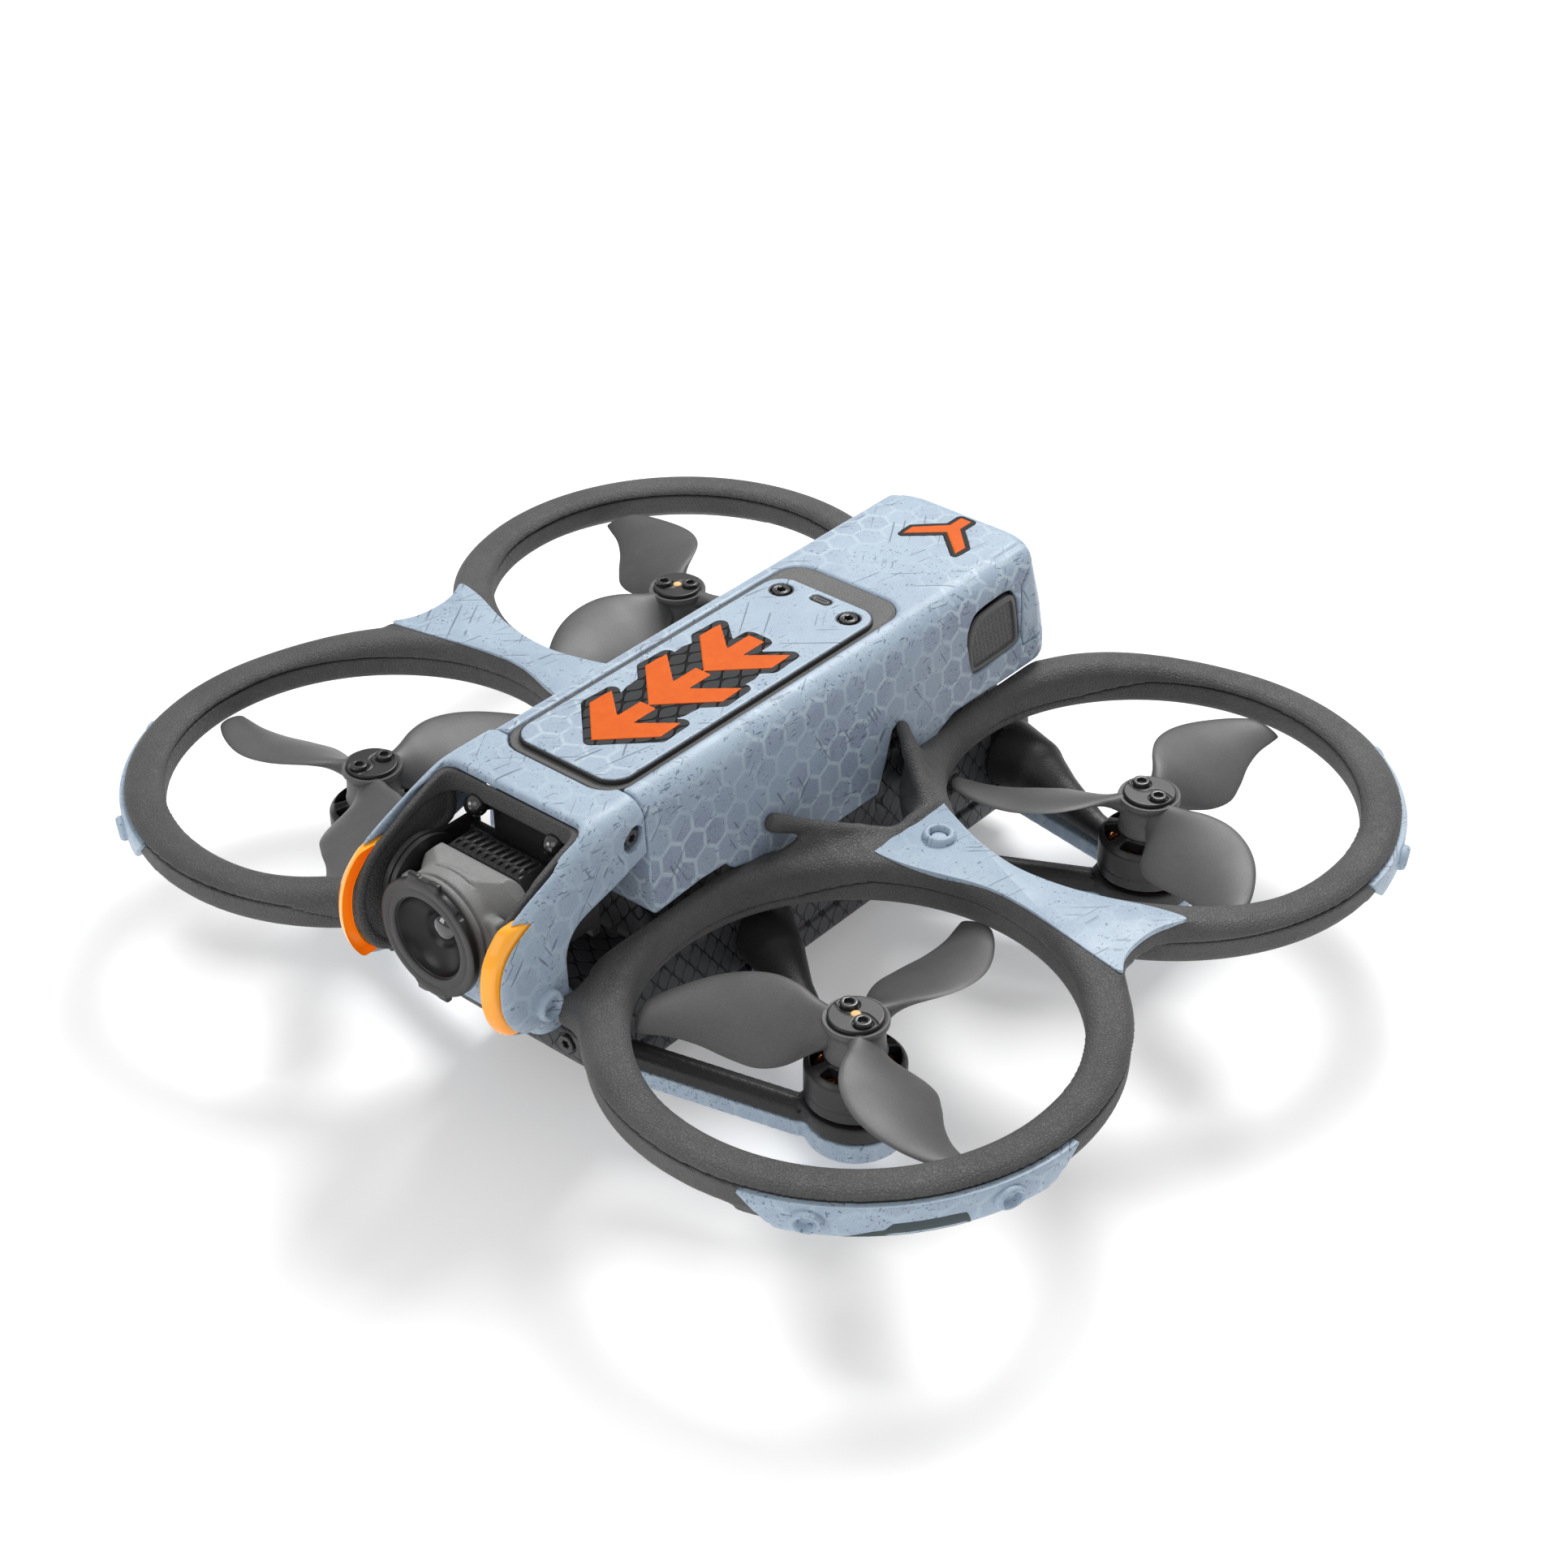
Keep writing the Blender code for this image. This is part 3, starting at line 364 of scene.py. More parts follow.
class Paint:
    """Builds one node material; math() and friends return sockets."""

    def __init__(self, name, roughness=0.5, metallic=0.0, coat=0.0, coat_roughness=0.1, specular=0.5):
        self.material = bpy.data.materials.new(name)
        self.material.use_nodes = True
        self.tree = self.material.node_tree
        self.shader = self.tree.nodes["Principled BSDF"]
        self.shader.inputs["Roughness"].default_value = roughness
        self.shader.inputs["Metallic"].default_value = metallic
        self.shader.inputs["Coat Weight"].default_value = coat
        self.shader.inputs["Coat Roughness"].default_value = coat_roughness
        self.shader.inputs["Specular IOR Level"].default_value = specular
        coordinate = self.node("ShaderNodeTexCoord")
        self.place = coordinate.outputs["Object"]
        self.normal = coordinate.outputs["Normal"]

    def node(self, kind, **values):
        made = self.tree.nodes.new(kind)
        for key, value in values.items():
            setattr(made, key, value)
        return made

    def feed(self, socket, value):
        if isinstance(value, bpy.types.NodeSocket):
            self.tree.links.new(value, socket)
        else:
            socket.default_value = value

    def math(self, operation, a, b=0.0, clamp=False):
        made = self.node("ShaderNodeMath", operation=operation, use_clamp=clamp)
        self.feed(made.inputs[0], a)
        self.feed(made.inputs[1], b)
        return made.outputs[0]

    def mul(self, a, b):
        return self.math("MULTIPLY", a, b)

    def weigh(self, value, factor, offset):
        """value * factor + offset"""
        made = self.math("MULTIPLY_ADD", value, factor)
        self.feed(made.node.inputs[2], offset)
        return made

    def step(self, value, low, high):
        """0 below low, 1 above high, smooth between; low may be the larger one."""
        made = self.node("ShaderNodeMapRange", interpolation_type="SMOOTHSTEP")
        for socket, v in zip(made.inputs, (value, low, high, 0.0, 1.0)):
            self.feed(socket, v)
        return made.outputs[0]

    def pick(self, share, a, b):
        made = self.node("ShaderNodeMix", data_type="FLOAT")
        for socket, value in zip((made.inputs[0], made.inputs[2], made.inputs[3]), (share, a, b)):
            self.feed(socket, value)
        return made.outputs[0]

    def mix(self, share, a, b):
        made = self.node("ShaderNodeMix", data_type="RGBA")
        self.feed(made.inputs[0], share)
        self.feed(made.inputs[6], (*a, 1.0) if isinstance(a, tuple) and len(a) == 3 else a)
        self.feed(made.inputs[7], (*b, 1.0) if isinstance(b, tuple) and len(b) == 3 else b)
        return made.outputs[2]

    def mapped(self, scale=(1, 1, 1), turn=(0, 0, 0), source=None):
        """Coordinates turned first and then scaled."""
        made = self.node("ShaderNodeMapping", vector_type="TEXTURE")
        self.feed(made.inputs[0], source or self.place)
        made.inputs["Rotation"].default_value = [math.radians(a) for a in turn]
        made.inputs["Scale"].default_value = [1.0 / a for a in scale]
        return made.outputs[0]

    def noise(self, scale, detail=2.0, rough=0.5, source=None):
        """Noise in 0..1; scale counts features per millimetre."""
        made = self.node("ShaderNodeTexNoise")
        self.feed(made.inputs["Vector"], source or self.place)
        made.inputs["Scale"].default_value = scale * 1000.0
        made.inputs["Detail"].default_value = detail
        made.inputs["Roughness"].default_value = rough
        return made.outputs[0]

    def cells(self, scale, feature="F1", source=None, output="Distance"):
        made = self.node("ShaderNodeTexVoronoi", feature=feature)
        self.feed(made.inputs["Vector"], source or self.place)
        made.inputs["Scale"].default_value = scale * 1000.0
        return made.outputs[output]

    def split(self, source):
        made = self.node("ShaderNodeSeparateXYZ")
        self.feed(made.inputs[0], source)
        return made.outputs

    def join(self, x, y, z=0.0):
        made = self.node("ShaderNodeCombineXYZ")
        for socket, value in zip(made.inputs, (x, y, z)):
            self.feed(socket, value)
        return made.outputs[0]

    def scratches(self, density=0.66):
        """Sparse thin straight marks in several directions, 0..1."""
        marks = None
        turns = ((0, 0, 32), (0, 0, -48), (48, 0, 8), (-62, 0, 0), (0, 35, -12))
        for index, turn in enumerate(turns):
            lines = self.noise(0.022, 1.0, 0.4, self.mapped((85, 1.7, 85), turn))
            lines = self.step(lines, density, density + 0.04)
            patches = self.noise(0.09 + 0.02 * index, 2.0, 0.6, self.mapped(turn=(index * 40, 30, 10)))
            lines = self.mul(lines, self.step(patches, 0.50, 0.58))
            marks = lines if marks is None else self.math("MAXIMUM", marks, lines)
        return marks

    def color(self, value):
        self.feed(self.shader.inputs["Base Color"], (*value, 1.0) if isinstance(value, tuple) else value)

    def rough(self, low, high, scale=0.12):
        self.feed(self.shader.inputs["Roughness"], self.weigh(self.noise(scale, 3.0), high - low, low))

    def bump(self, height, strength=0.3, distance=0.0002):
        made = self.node("ShaderNodeBump")
        made.inputs["Strength"].default_value = strength
        made.inputs["Distance"].default_value = distance
        self.feed(made.inputs["Height"], height)
        self.feed(self.shader.inputs["Normal"], made.outputs[0])


def leather_paint(name, base, light, grain=1.5, strength=0.5, roughness=(0.5, 0.72)):
    """Moulded plastic with a fine leather grain."""
    p = Paint(name)
    shade = p.noise(0.05, 4.0, 0.6)
    fine = p.noise(4.0, 1.0)
    tone = p.weigh(fine, 0.35, p.mul(shade, 0.5))
    p.color(p.mix(p.step(tone, 0.2, 0.7), base, light))
    p.rough(*roughness)
    warped = p.node("ShaderNodeVectorMath", operation="ADD")
    p.feed(warped.inputs[0], p.place)
    ripple = p.node("ShaderNodeTexNoise")
    p.feed(ripple.inputs["Vector"], p.place)
    ripple.inputs["Scale"].default_value = 1100.0
    scaled = p.node("ShaderNodeVectorMath", operation="SCALE")
    p.feed(scaled.inputs[0], ripple.outputs["Color"])
    scaled.inputs["Scale"].default_value = 0.0006
    p.feed(warped.inputs[1], scaled.outputs[0])
    pits = p.cells(grain, "DISTANCE_TO_EDGE", warped.outputs[0])
    height = p.weigh(p.noise(grain * 2.2, 2.0), 0.4, p.mul(p.step(pits, 0.0, 0.25), 0.7))
    p.bump(height, strength, 0.00012)
    return p.material


def satin_paint(name, base, light, roughness=(0.3, 0.48), grain=2.5, strength=0.12, coat=0.0):
    p = Paint(name, coat=coat)
    p.color(p.mix(p.noise(0.15, 4.0, 0.65), base, light))
    p.rough(*roughness)
    p.bump(p.noise(grain, 2.0), strength, 0.0001)
    return p.material


def hexagons(p, u, v, cell):
    """(distance to the nearest cell edge in cells, a value that differs from cell to cell)."""
    u = p.math("DIVIDE", u, cell * MM)
    v = p.math("DIVIDE", v, cell * MM)
    tall = math.sqrt(3.0)

    def local(value, period, shift):
        return p.math("SUBTRACT", p.math("FLOORED_MODULO", p.math("SUBTRACT", value, shift), period),
            period / 2)

    options = []
    for shift in (0.0, 1.0):
        a, b = local(u, 1.0, shift * 0.5), local(v, tall, shift * tall / 2)
        size = p.math("ADD", p.mul(a, a), p.mul(b, b))
        options.append((a, b, size))
    first = p.math("LESS_THAN", options[0][2], options[1][2])
    chosen = []
    for i in (0, 1):
        chosen.append(p.pick(first, options[1][i], options[0][i]))
    a, b = (p.math("ABSOLUTE", value) for value in chosen)
    slant = p.math("ADD", p.mul(a, 0.5), p.mul(b, tall / 2))
    edge = p.math("SUBTRACT", 0.5, p.math("MAXIMUM", a, slant))
    middle = p.join(p.math("SUBTRACT", u, chosen[0]), p.math("SUBTRACT", v, chosen[1]))
    tint = p.node("ShaderNodeTexWhiteNoise", noise_dimensions="2D")
    p.feed(tint.inputs["Vector"], p.mapped((7.3, 7.3, 1), source=middle))
    return edge, tint.outputs["Value"]


def skin_paint(name, pattern=1.0, cell=5.6):
    """Pale blue vinyl wrap with hexagon outlines, periwinkle cells, scratches and specks; faces that
    point sideways are darkened as painted shade.
    """
    p = Paint(name, coat=0.08, coat_roughness=0.35)
    x, y, z = p.split(p.place)
    nx, ny, nz = p.split(p.normal)
    upward = p.math("GREATER_THAN", p.math("ABSOLUTE", nz), 0.6)
    frontal = p.math("GREATER_THAN", p.math("ABSOLUTE", ny), 0.75)

    u = p.pick(upward, p.pick(frontal, y, x), x)
    v = p.pick(upward, z, y)
    edge, tint = hexagons(p, u, v, cell)
    drift = p.noise(0.028, 2.0, 0.5)
    flank = p.step(p.math("ABSOLUTE", nz), 0.75, 0.35)
    zone = p.math("ADD", p.step(drift, 0.42, 0.58), p.mul(flank, 0.45), clamp=True)
    zone = p.mul(zone, pattern)
    wear = p.step(p.noise(0.3, 3.0, 0.7), 0.22, 0.55)
    outline = p.mul(p.step(edge, 0.078, 0.045), p.mul(zone, wear))
    fill = p.mul(p.step(edge, 0.045, 0.13), p.mul(zone, p.step(tint, -0.3, 1.0)))
    # Cells fill more deeply on side faces: the fill is print, and its extra depth on the sides is painted
    # shade.
    fill = p.mul(fill, p.weigh(flank, 0.75, 0.25))
    pale, deep, line = (0.375, 0.475, 0.575), (0.225, 0.27, 0.385), (0.51, 0.62, 0.68)
    cloud = p.noise(0.06, 5.0, 0.65)
    base = p.mix(p.step(cloud, 0.3, 0.75), pale, (0.30, 0.385, 0.49))
    # Painted shade: faces that point sideways are mixed towards the deep blue.
    base = p.mix(p.mul(flank, 0.30 * pattern), base, deep)
    base = p.mix(p.mul(fill, 0.95), base, deep)
    base = p.mix(p.mul(outline, 0.62), base, line)
    grain = p.noise(4.0, 2.0, 0.7)
    base = p.mix(p.mul(p.step(grain, 0.40, 0.70), 0.35), base, (0.52, 0.62, 0.70))
    marks = p.scratches(0.665)
    specks = p.mul(p.step(p.noise(1.3, 2.0, 0.6), 0.695, 0.73), p.step(p.noise(0.1, 2.0), 0.45, 0.6))
    marks = p.math("MAXIMUM", marks, specks)
    base = p.mix(p.mul(marks, 0.75), base, (0.09, 0.12, 0.17))
    p.color(base)
    p.rough(0.4, 0.58)
    height = p.math("SUBTRACT", p.mul(grain, 0.3), marks)
    p.bump(height, 0.18, 0.0001)
    return p.material


def glass_paint(name, base, roughness=0.04, coat=1.0, specular=0.8):
    p = Paint(name, coat=coat, coat_roughness=0.02, specular=specular)
    p.color(p.mix(p.noise(0.3, 2.0), base, tuple(c * 1.6 for c in base)))
    p.rough(roughness, roughness + 0.04, 0.5)
    p.bump(p.noise(1.0, 1.0), 0.02, 0.00005)
    return p.material


def amber_paint():
    p = Paint("amber_lens", coat=0.6, coat_roughness=0.04)
    x, y, z = p.split(p.place)
    # Random tone, plus a painted highlight: the colour turns lighter towards the top of the strip.
    tone_and_top_highlight = p.math("ADD", p.mul(p.noise(0.2, 2.0), 0.3), p.step(z, 0.032, 0.056))
    p.color(p.mix(p.mul(tone_and_top_highlight, 0.7), (1.0, 0.33, 0.008), (1.0, 0.44, 0.02)))
    p.rough(0.18, 0.3)
    p.bump(p.noise(0.8, 2.0), 0.05, 0.0001)
    p.shader.inputs["Emission Color"].default_value = (1.0, 0.36, 0.02, 1.0)
    p.shader.inputs["Emission Strength"].default_value = 0.12
    return p.material


def scale_paint(name, flat=False):
    """Black shell printed and embossed with overlapping pointed scales."""
    p = Paint(name, specular=0.12 if flat else 0.5)
    x, y, z = p.split(p.place)
    across, along = x, y
    if not flat:
        nx, ny, nz = p.split(p.normal)
        level = p.math("GREATER_THAN", p.math("ABSOLUTE", nz), 0.75)
        facing = p.math("GREATER_THAN", p.math("ABSOLUTE", ny), 0.75)
        across = p.pick(facing, y, x)
        along = p.pick(level, z, p.math("ADD", z, x))
    u = p.math("DIVIDE", across, 0.0042)
    v = p.math("DIVIDE", along, 0.0056)

    def leaf(shift_u, shift_v):
        a = p.math("ABSOLUTE", p.math("SUBTRACT", p.math("FRACT", p.math("ADD", u, shift_u)), 0.5))
        b = p.math("FRACT", p.math("ADD", v, shift_v))
        bulge = p.math("SINE", p.mul(b, math.pi))
        return p.math("SUBTRACT", p.mul(p.math("POWER", bulge, 1.25), 0.385), a)

    body = p.math("MAXIMUM", leaf(0.0, 0.0), leaf(0.5, 0.5))
    face = p.step(body, 0.0, 0.06)
    p.color(p.mix(face, (0.002, 0.002, 0.003), p.mix(p.noise(0.4, 4.0, 0.7), (0.026, 0.027, 0.030),
        (0.052, 0.054, 0.058))))
    p.rough(0.38, 0.6)
    p.bump(face, 1.0, 0.0005)
    return p.material


def copper_paint():
    p = Paint("copper_windings", metallic=0.9)
    x, y, z = p.split(p.place)
    turns = p.math("SINE", p.mul(z, 2 * math.pi / 0.0007))
    p.color(p.mix(p.noise(0.8, 2.0), (0.24, 0.09, 0.03), (0.5, 0.22, 0.08)))
    p.rough(0.3, 0.5)
    p.bump(turns, 0.6, 0.0002)
    return p.material


def glow_paint(name, base, light):
    """Print ink of slightly uneven tone."""
    p = Paint(name, specular=0.15)
    p.color(p.mix(p.noise(0.35, 4.0, 0.7), base, light))
    p.rough(0.35, 0.5)
    p.bump(p.noise(3.0, 2.0), 0.1, 0.0001)
    return p.material


SKIN = skin_paint("skin_wrap", 1.0)
SKIN_PLAIN = skin_paint("skin_wrap_plain", 0.35)
GUARD = leather_paint("guard_plastic", (0.048, 0.048, 0.048), (0.108, 0.106, 0.104), 1.5, 1.0)
GREY = leather_paint("grey_plastic", (0.075, 0.075, 0.074), (0.14, 0.138, 0.135), 2.6, 0.35, (0.42, 0.6))
CASE = leather_paint("camera_plastic", (0.20, 0.20, 0.198), (0.31, 0.308, 0.304), 3.0, 0.35, (0.42, 0.6))
BLADE = leather_paint("propeller_plastic", (0.062, 0.062, 0.062), (0.115, 0.114, 0.112), 5.0, 0.12,
    (0.38, 0.55))
BLACK = satin_paint("black_plastic", (0.008, 0.008, 0.009), (0.022, 0.022, 0.024))
SATIN = leather_paint("dark_plastic", (0.010, 0.010, 0.011), (0.024, 0.024, 0.025), 2.0, 0.3, (0.4, 0.56))
STEEL = satin_paint("black_steel", (0.012, 0.012, 0.013), (0.035, 0.035, 0.037), (0.25, 0.4), 3.0, 0.1,
    0.3)
SCALES = scale_paint("scale_plastic")
PATCH = scale_paint("scale_print", True)
AMBER = amber_paint()
GLASS = glass_paint("lens_glass", (0.004, 0.005, 0.007))
BORE = glass_paint("lens_bore", (0.003, 0.003, 0.004), 0.32, 0.0, 0.3)
RUBBER = glass_paint("damper_rubber", (0.008, 0.008, 0.009), 0.12)
PANE = glass_paint("dark_window", (0.012, 0.012, 0.014), 0.08)
COPPER = copper_paint()
ORANGE = glow_paint("orange_print", (0.62, 0.085, 0.003), (0.82, 0.15, 0.006))
INK = glow_paint("black_print", (0.006, 0.006, 0.007), (0.02, 0.02, 0.022))
TEAL = satin_paint("shaded_blue", (0.012, 0.028, 0.033), (0.022, 0.045, 0.052), (0.45, 0.6))
ALUMINIUM = satin_paint("bead_blasted_aluminium", (0.35, 0.36, 0.37), (0.5, 0.51, 0.52), (0.35, 0.5))
BOARD = satin_paint("circuit_board", (0.01, 0.06, 0.03), (0.02, 0.12, 0.06), (0.35, 0.5))
DOT = glow_paint("hub_dot", (0.95, 0.55, 0.22), (1.0, 0.66, 0.33))
SLOTS = {
    "skin": (SKIN, SKIN_PLAIN),
    "graphite_plastic": (GUARD, GREY, CASE, BLADE),
    "black_plastic": (BLACK, SATIN, SCALES, PATCH, BORE, RUBBER, INK, TEAL),
    "black_steel": (STEEL,),
    "amber_lens": (AMBER, ORANGE, DOT),
    "lens_glass": (GLASS, PANE),
    "copper_windings": (COPPER,),
}
SLOT_OF = {finish.name: slot for slot, finishes in SLOTS.items() for finish in finishes}


# ---------------------------------------------------------------- guards

WEB_SKIN = [
    (31.6, -8.2), (36.2, -9.0), (41.5, -8.6), (46.9, -7.3), (54.9, -4.9), (59.5, -4.3), (64.1, -4.5),
    (70.0, -5.4), (77.4, -7.1), (84.0, -8.5), (90.4, -9.6), (88.2, -6.6), (87.2, -3.7), (86.9, 0.3),
    (87.2, 3.9), (88.4, 7.4), (90.6, 11.0), (83.0, 9.4), (77.0, 7.0), (71.0, 5.0), (65.0, 3.9),
    (59.5, 3.5), (54.9, 3.9), (47.1, 5.9), (41.0, 8.6), (36.4, 10.7), (32.2, 13.4), (33.4, 11.4),
    (35.0, 8.4), (35.3, 2.5), (34.6, -2.4), (33.0, -5.4),
]
FRONT_CREST = [(21.2, -19.6, 43.2), (25.5, -12.5, 40.3), (30.0, -6.5, 38.2), (34.2, -1.5, 36.7),
    (34.7, 3.5, 36.5)]
REAR_CREST = [(20.9, 17.4, 45.0), (24.6, 14.9, 42.4), (29.6, 11.7, 39.3), (34.2, 8.4, 36.8),
    (34.7, 3.5, 36.5)]
BANK = {
    -1: ((22.8, -25.0, 35.6), (24.5, -18.5, 36.6), (29.0, -14.0, 36.2), (33.5, -9.0, 36.2)),
    1: ((22.0, 23.5, 35.6), (25.5, 19.0, 36.4), (30.0, 15.2, 36.3), (34.8, 11.6, 36.2)),
}


def ring_tube(grid, x, y, half, middle, tall, radius, drop=0.0):
    """Ring section; its roof sinks by drop on the side away from the body."""
    u, v = grid.x - x, (grid.y - y) * math.copysign(1, y)
    r = np.hypot(u, v)
    away = np.clip(((u * 0.72 + v * 0.69) / np.maximum(r, 1.0) + 0.25) / 0.8, 0.0, 1.0)
    away = away * away * (3 - 2 * away)
    return round_box((r - RING_RADIUS - 0.5 * away, grid.z), (0.0, middle - drop / 2 * away),
        (half, tall - drop / 2 * away), radius)


def seam_level(grid):
    """Height of the joint between guard halves: higher outside than at the body."""
    return RING_SEAM + SEAM_RISE * np.clip((grid.x - 28.0) / 9.0, 0.0, 1.0)


def bracket(grid, end):
    """Crest that climbs from the web to the body's side, and the wall below it."""
    p = (grid.x, grid.y, grid.z)
    crest = FRONT_CREST if end < 0 else REAR_CREST
    radii = (1.9, 1.25, 1.15, 1.15, 1.15) if end < 0 else (1.1, 1.15, 1.2, 1.2, 1.15)
    bank = BANK[end]
    field = polyline(p, crest, radii)
    sheets = [
        (bank[0], bank[1], crest[1]), (bank[1], bank[2], crest[1]), (bank[2], crest[1], crest[2]),
        (bank[2], bank[3], crest[2]), (bank[3], crest[2], crest[3]), (crest[3], crest[4], bank[3]),
    ]
    if end > 0:
        sheets.append((crest[0], crest[1], bank[1]))
    for a, b in zip(crest[1:], crest[2:]):
        low_a, low_b = (a[0] + 0.3, a[1], 32.8), (b[0] + 0.3, b[1], 32.8)
        sheets += [(a, b, low_a), (b, low_a, low_b)]
    for a, b, c in sheets:
        field = union(field, triangle(p, a, b, c) - 1.05, 0.8)
    return field


def make_guards():
    grid = Grid((18.5, -91.0, 30.4), (108.0, 91.0, 47.0), 0.5)
    tubes = np.minimum(
        ring_tube(grid, ROTOR_X, -ROTOR_Y, 4.3, 32.8, 4.55, 3.0, ROOF_DROP),
        ring_tube(grid, ROTOR_X, ROTOR_Y, 4.3, 32.8, 4.55, 3.0, ROOF_DROP)
    )
    web = np.maximum(polygon(grid.x, grid.y, WEB_SKIN), slab(grid.z, 31.6, 36.9))
    field = union(tubes, web, 1.6)
    near = slice(0, int(20 / grid.step))
    for end in (-1, 1):
        part = Grid((18.5, -91.0, 30.4), (18.5 + (near.stop - 0.5) * 0.5, 91.0, 47.0), 0.5)
        walls = bracket(part, end)
        count = min(near.stop, walls.shape[0])
        field[:count] = union(field[:count], walls[:count], 2.0)
    field = np.where(grid.x > 35.5, np.maximum(field, grid.z - 37.35), field)
    lug = round_box((grid.x, grid.y, grid.z), (24.5, -71.0, 33.8), (4.2, 4.4, 2.8), 1.2)
    field = union(field, lug, 2.0)
    holes = [np.hypot(grid.x - ROTOR_X, grid.y - end * ROTOR_Y) - DUCT_RADIUS for end in (-1, 1)]
    field = without(field, *holes)
    field = np.maximum(blur(field, 1), seam_level(grid) + 0.12 - grid.z)
    upper = surface(grid, field)

    grid = Grid((18.5, -91.0, 25.0), (108.0, 91.0, 34.0), 0.5)
    field = np.minimum(
        ring_tube(grid, ROTOR_X, -ROTOR_Y, 3.75, 31.8, 3.45, 1.6),
        ring_tube(grid, ROTOR_X, ROTOR_Y, 3.75, 31.8, 3.45, 1.6)
    )
    for end in (-1, 1):
        x, y = grid.x - ROTOR_X, (grid.y - end * ROTOR_Y) * end
        turn = np.degrees(np.arctan2(y, x)) - ANTENNA_TURN
        pod = round_box((np.hypot(x, y), grid.z), (43.6, 28.9), (1.9, 2.1), 0.8)
        field = union(field, np.maximum(pod, (np.abs(turn) - 36.0) * 0.75), 1.0)
    lug = round_box((grid.x, grid.y, grid.z), (23.3, -72.4, 28.6), (2.9, 3.2, 2.7), 0.8)
    field = union(field, lug, 1.5)
    hole = np.hypot(grid.x - 22.7, grid.z - 28.4) - 1.95
    field = np.maximum(field, -np.maximum(hole, grid.y + 73.6))
    field = np.maximum(blur(field, 1), grid.z - (seam_level(grid) - 0.18))
    lower = surface(grid, field)

    for side, name in SIDES:
        top, bottom = (upper, lower) if side > 0 else (mirrored(*upper), mirrored(*lower))
        add_piece(f"guard_tube_{name}", *top, GUARD, "airframe", [f"guard_upper_{name}"])
        add_piece(f"guard_rim_{name}", *bottom, GUARD, "airframe", [f"guard_lower_{name}"])
        outline = [(side * x, y) for x, y in smooth_outline(WEB_SKIN, 3)]
        skin = Solid().prism(outline, 36.6, 37.62).bevel(0.12)
        add_piece(f"web_skin_{name}", *skin.data(), SKIN_PLAIN, "airframe", sharp=35)
        boss = [(0, 37.3), (0, 37.8), (1.4, 37.8), (1.5, 37.62), (1.7, 37.62), (1.8, 38.5), (2.0, 38.85),
            (2.4, 38.95), (2.8, 38.75), (3.1, 38.2), (3.3, 37.5), (3.35, 37.3)]
        ring = Solid().turned(boss, 48, (side * 41.8, 2.0, 0))
        add_piece(f"web_boss_{name}", *ring.data(), SKIN_PLAIN, "airframe", sharp=50)


def make_antenna_covers():
    """Pale curved panels outside the pods, with two pads and a dark ragged patch of painted shade along
    the lower edge.
    """
    profile = ((46.0, 33.1), (47.25, 33.1), (47.45, 32.6), (47.45, 30.0), (47.2, 28.2), (46.8, 27.0),
        (46.3, 26.4), (45.4, 27.2))
    for name, side, end, _ in CORNERS:
        def place(turn, radius, z):
            angle = math.radians(ANTENNA_TURN + turn)
            return (side * (ROTOR_X + radius * math.cos(angle)),
                end * (ROTOR_Y + radius * math.sin(angle)), z)

        rings = []
        for turn in np.linspace(-38.0, 34.0, 96):
            rise = 0.8 * max(0.0, abs(turn + 2.0) - 28.0)
            rings.append([place(turn, r,
                max(z, min(32.95, 26.4 + rise + (z - 26.4) * 0.05))) for r, z in profile])
        cover = Solid().loft(rings)
        add_piece(f"antenna_panel_{name}", *cover.data(), SKIN_PLAIN, "airframe",
            [f"antenna_cover_{name}"], sharp=50)
        pads = Solid()
        for turn in (-20.0, 20.0):
            rows = []
            for radius, out in ((0.0, 0.1), (1.3, 0.1), (1.5, 0.5), (1.75, 1.1), (2.1, 1.35), (2.5, 1.25),
                (2.8, 0.7), (2.85, -0.6)):
                row = []
                for i in range(32):
                    a = 2 * math.pi * i / 32
                    row.append(place(turn + math.degrees(max(radius, 1e-3) * math.cos(a) / 47.0),
                        47.35 + out - 0.25 * max(0.0, -math.sin(a)) * radius / 2.75,
                        30.1 + 0.78 * max(radius, 1e-3) * math.sin(a)))
                rows.append(row)
            pads.loft(rows)
        add_piece(f"antenna_pads_{name}", *pads.data(), SKIN_PLAIN, "airframe", sharp=60)
        # Dark teal sheet on the lower part of the panel, where it curves under: painted shade.
        patch = Solid()
        rings = []
        for turn in np.linspace(-12.4, 13.4, 66):
            top = 26.5 + np.interp(turn, (-12.4, -11.0, -8.0, 3.6, 5.2, 7.4, 13.4),
                (0.1, 3.2, 3.4, 3.3, 1.9, 1.7, 0.05))
            rows = [26.5 + (top - 26.5) * share for share in (0.0, 0.33, 0.67, 1.0)]
            out = [(float(np.interp(z, (26.4, 27.0, 28.2, 30.0), (46.3, 46.8, 47.2, 47.45))),
                z) for z in rows]
            rings.append([place(turn, r + 0.06, z) for r, z in out] + [place(turn, r - 0.4,
                z) for r, z in out[::-1]])
        patch.loft(rings)
        add_piece(f"antenna_shade_patch_{name}", *patch.data(), TEAL, "airframe", sharp=30)


# ---------------------------------------------------------------- rotors

def curve_through(xs, ys, at):
    """Smooth interpolation through points (Hermite with central slopes)."""
    xs, ys, at = np.array(xs, float), np.array(ys, float), np.array(at, float)
    slopes = np.gradient(ys, xs)
    i = np.clip(np.searchsorted(xs, at) - 1, 0, len(xs) - 2)
    h = xs[i + 1] - xs[i]
    t = (at - xs[i]) / h
    return ((2 * t ** 3 - 3 * t ** 2 + 1) * ys[i] + (t ** 3 - 2 * t ** 2 + t) * h * slopes[i]
            + (3 * t ** 2 - 2 * t ** 3) * ys[i + 1] + (t ** 3 - t ** 2) * h * slopes[i + 1])


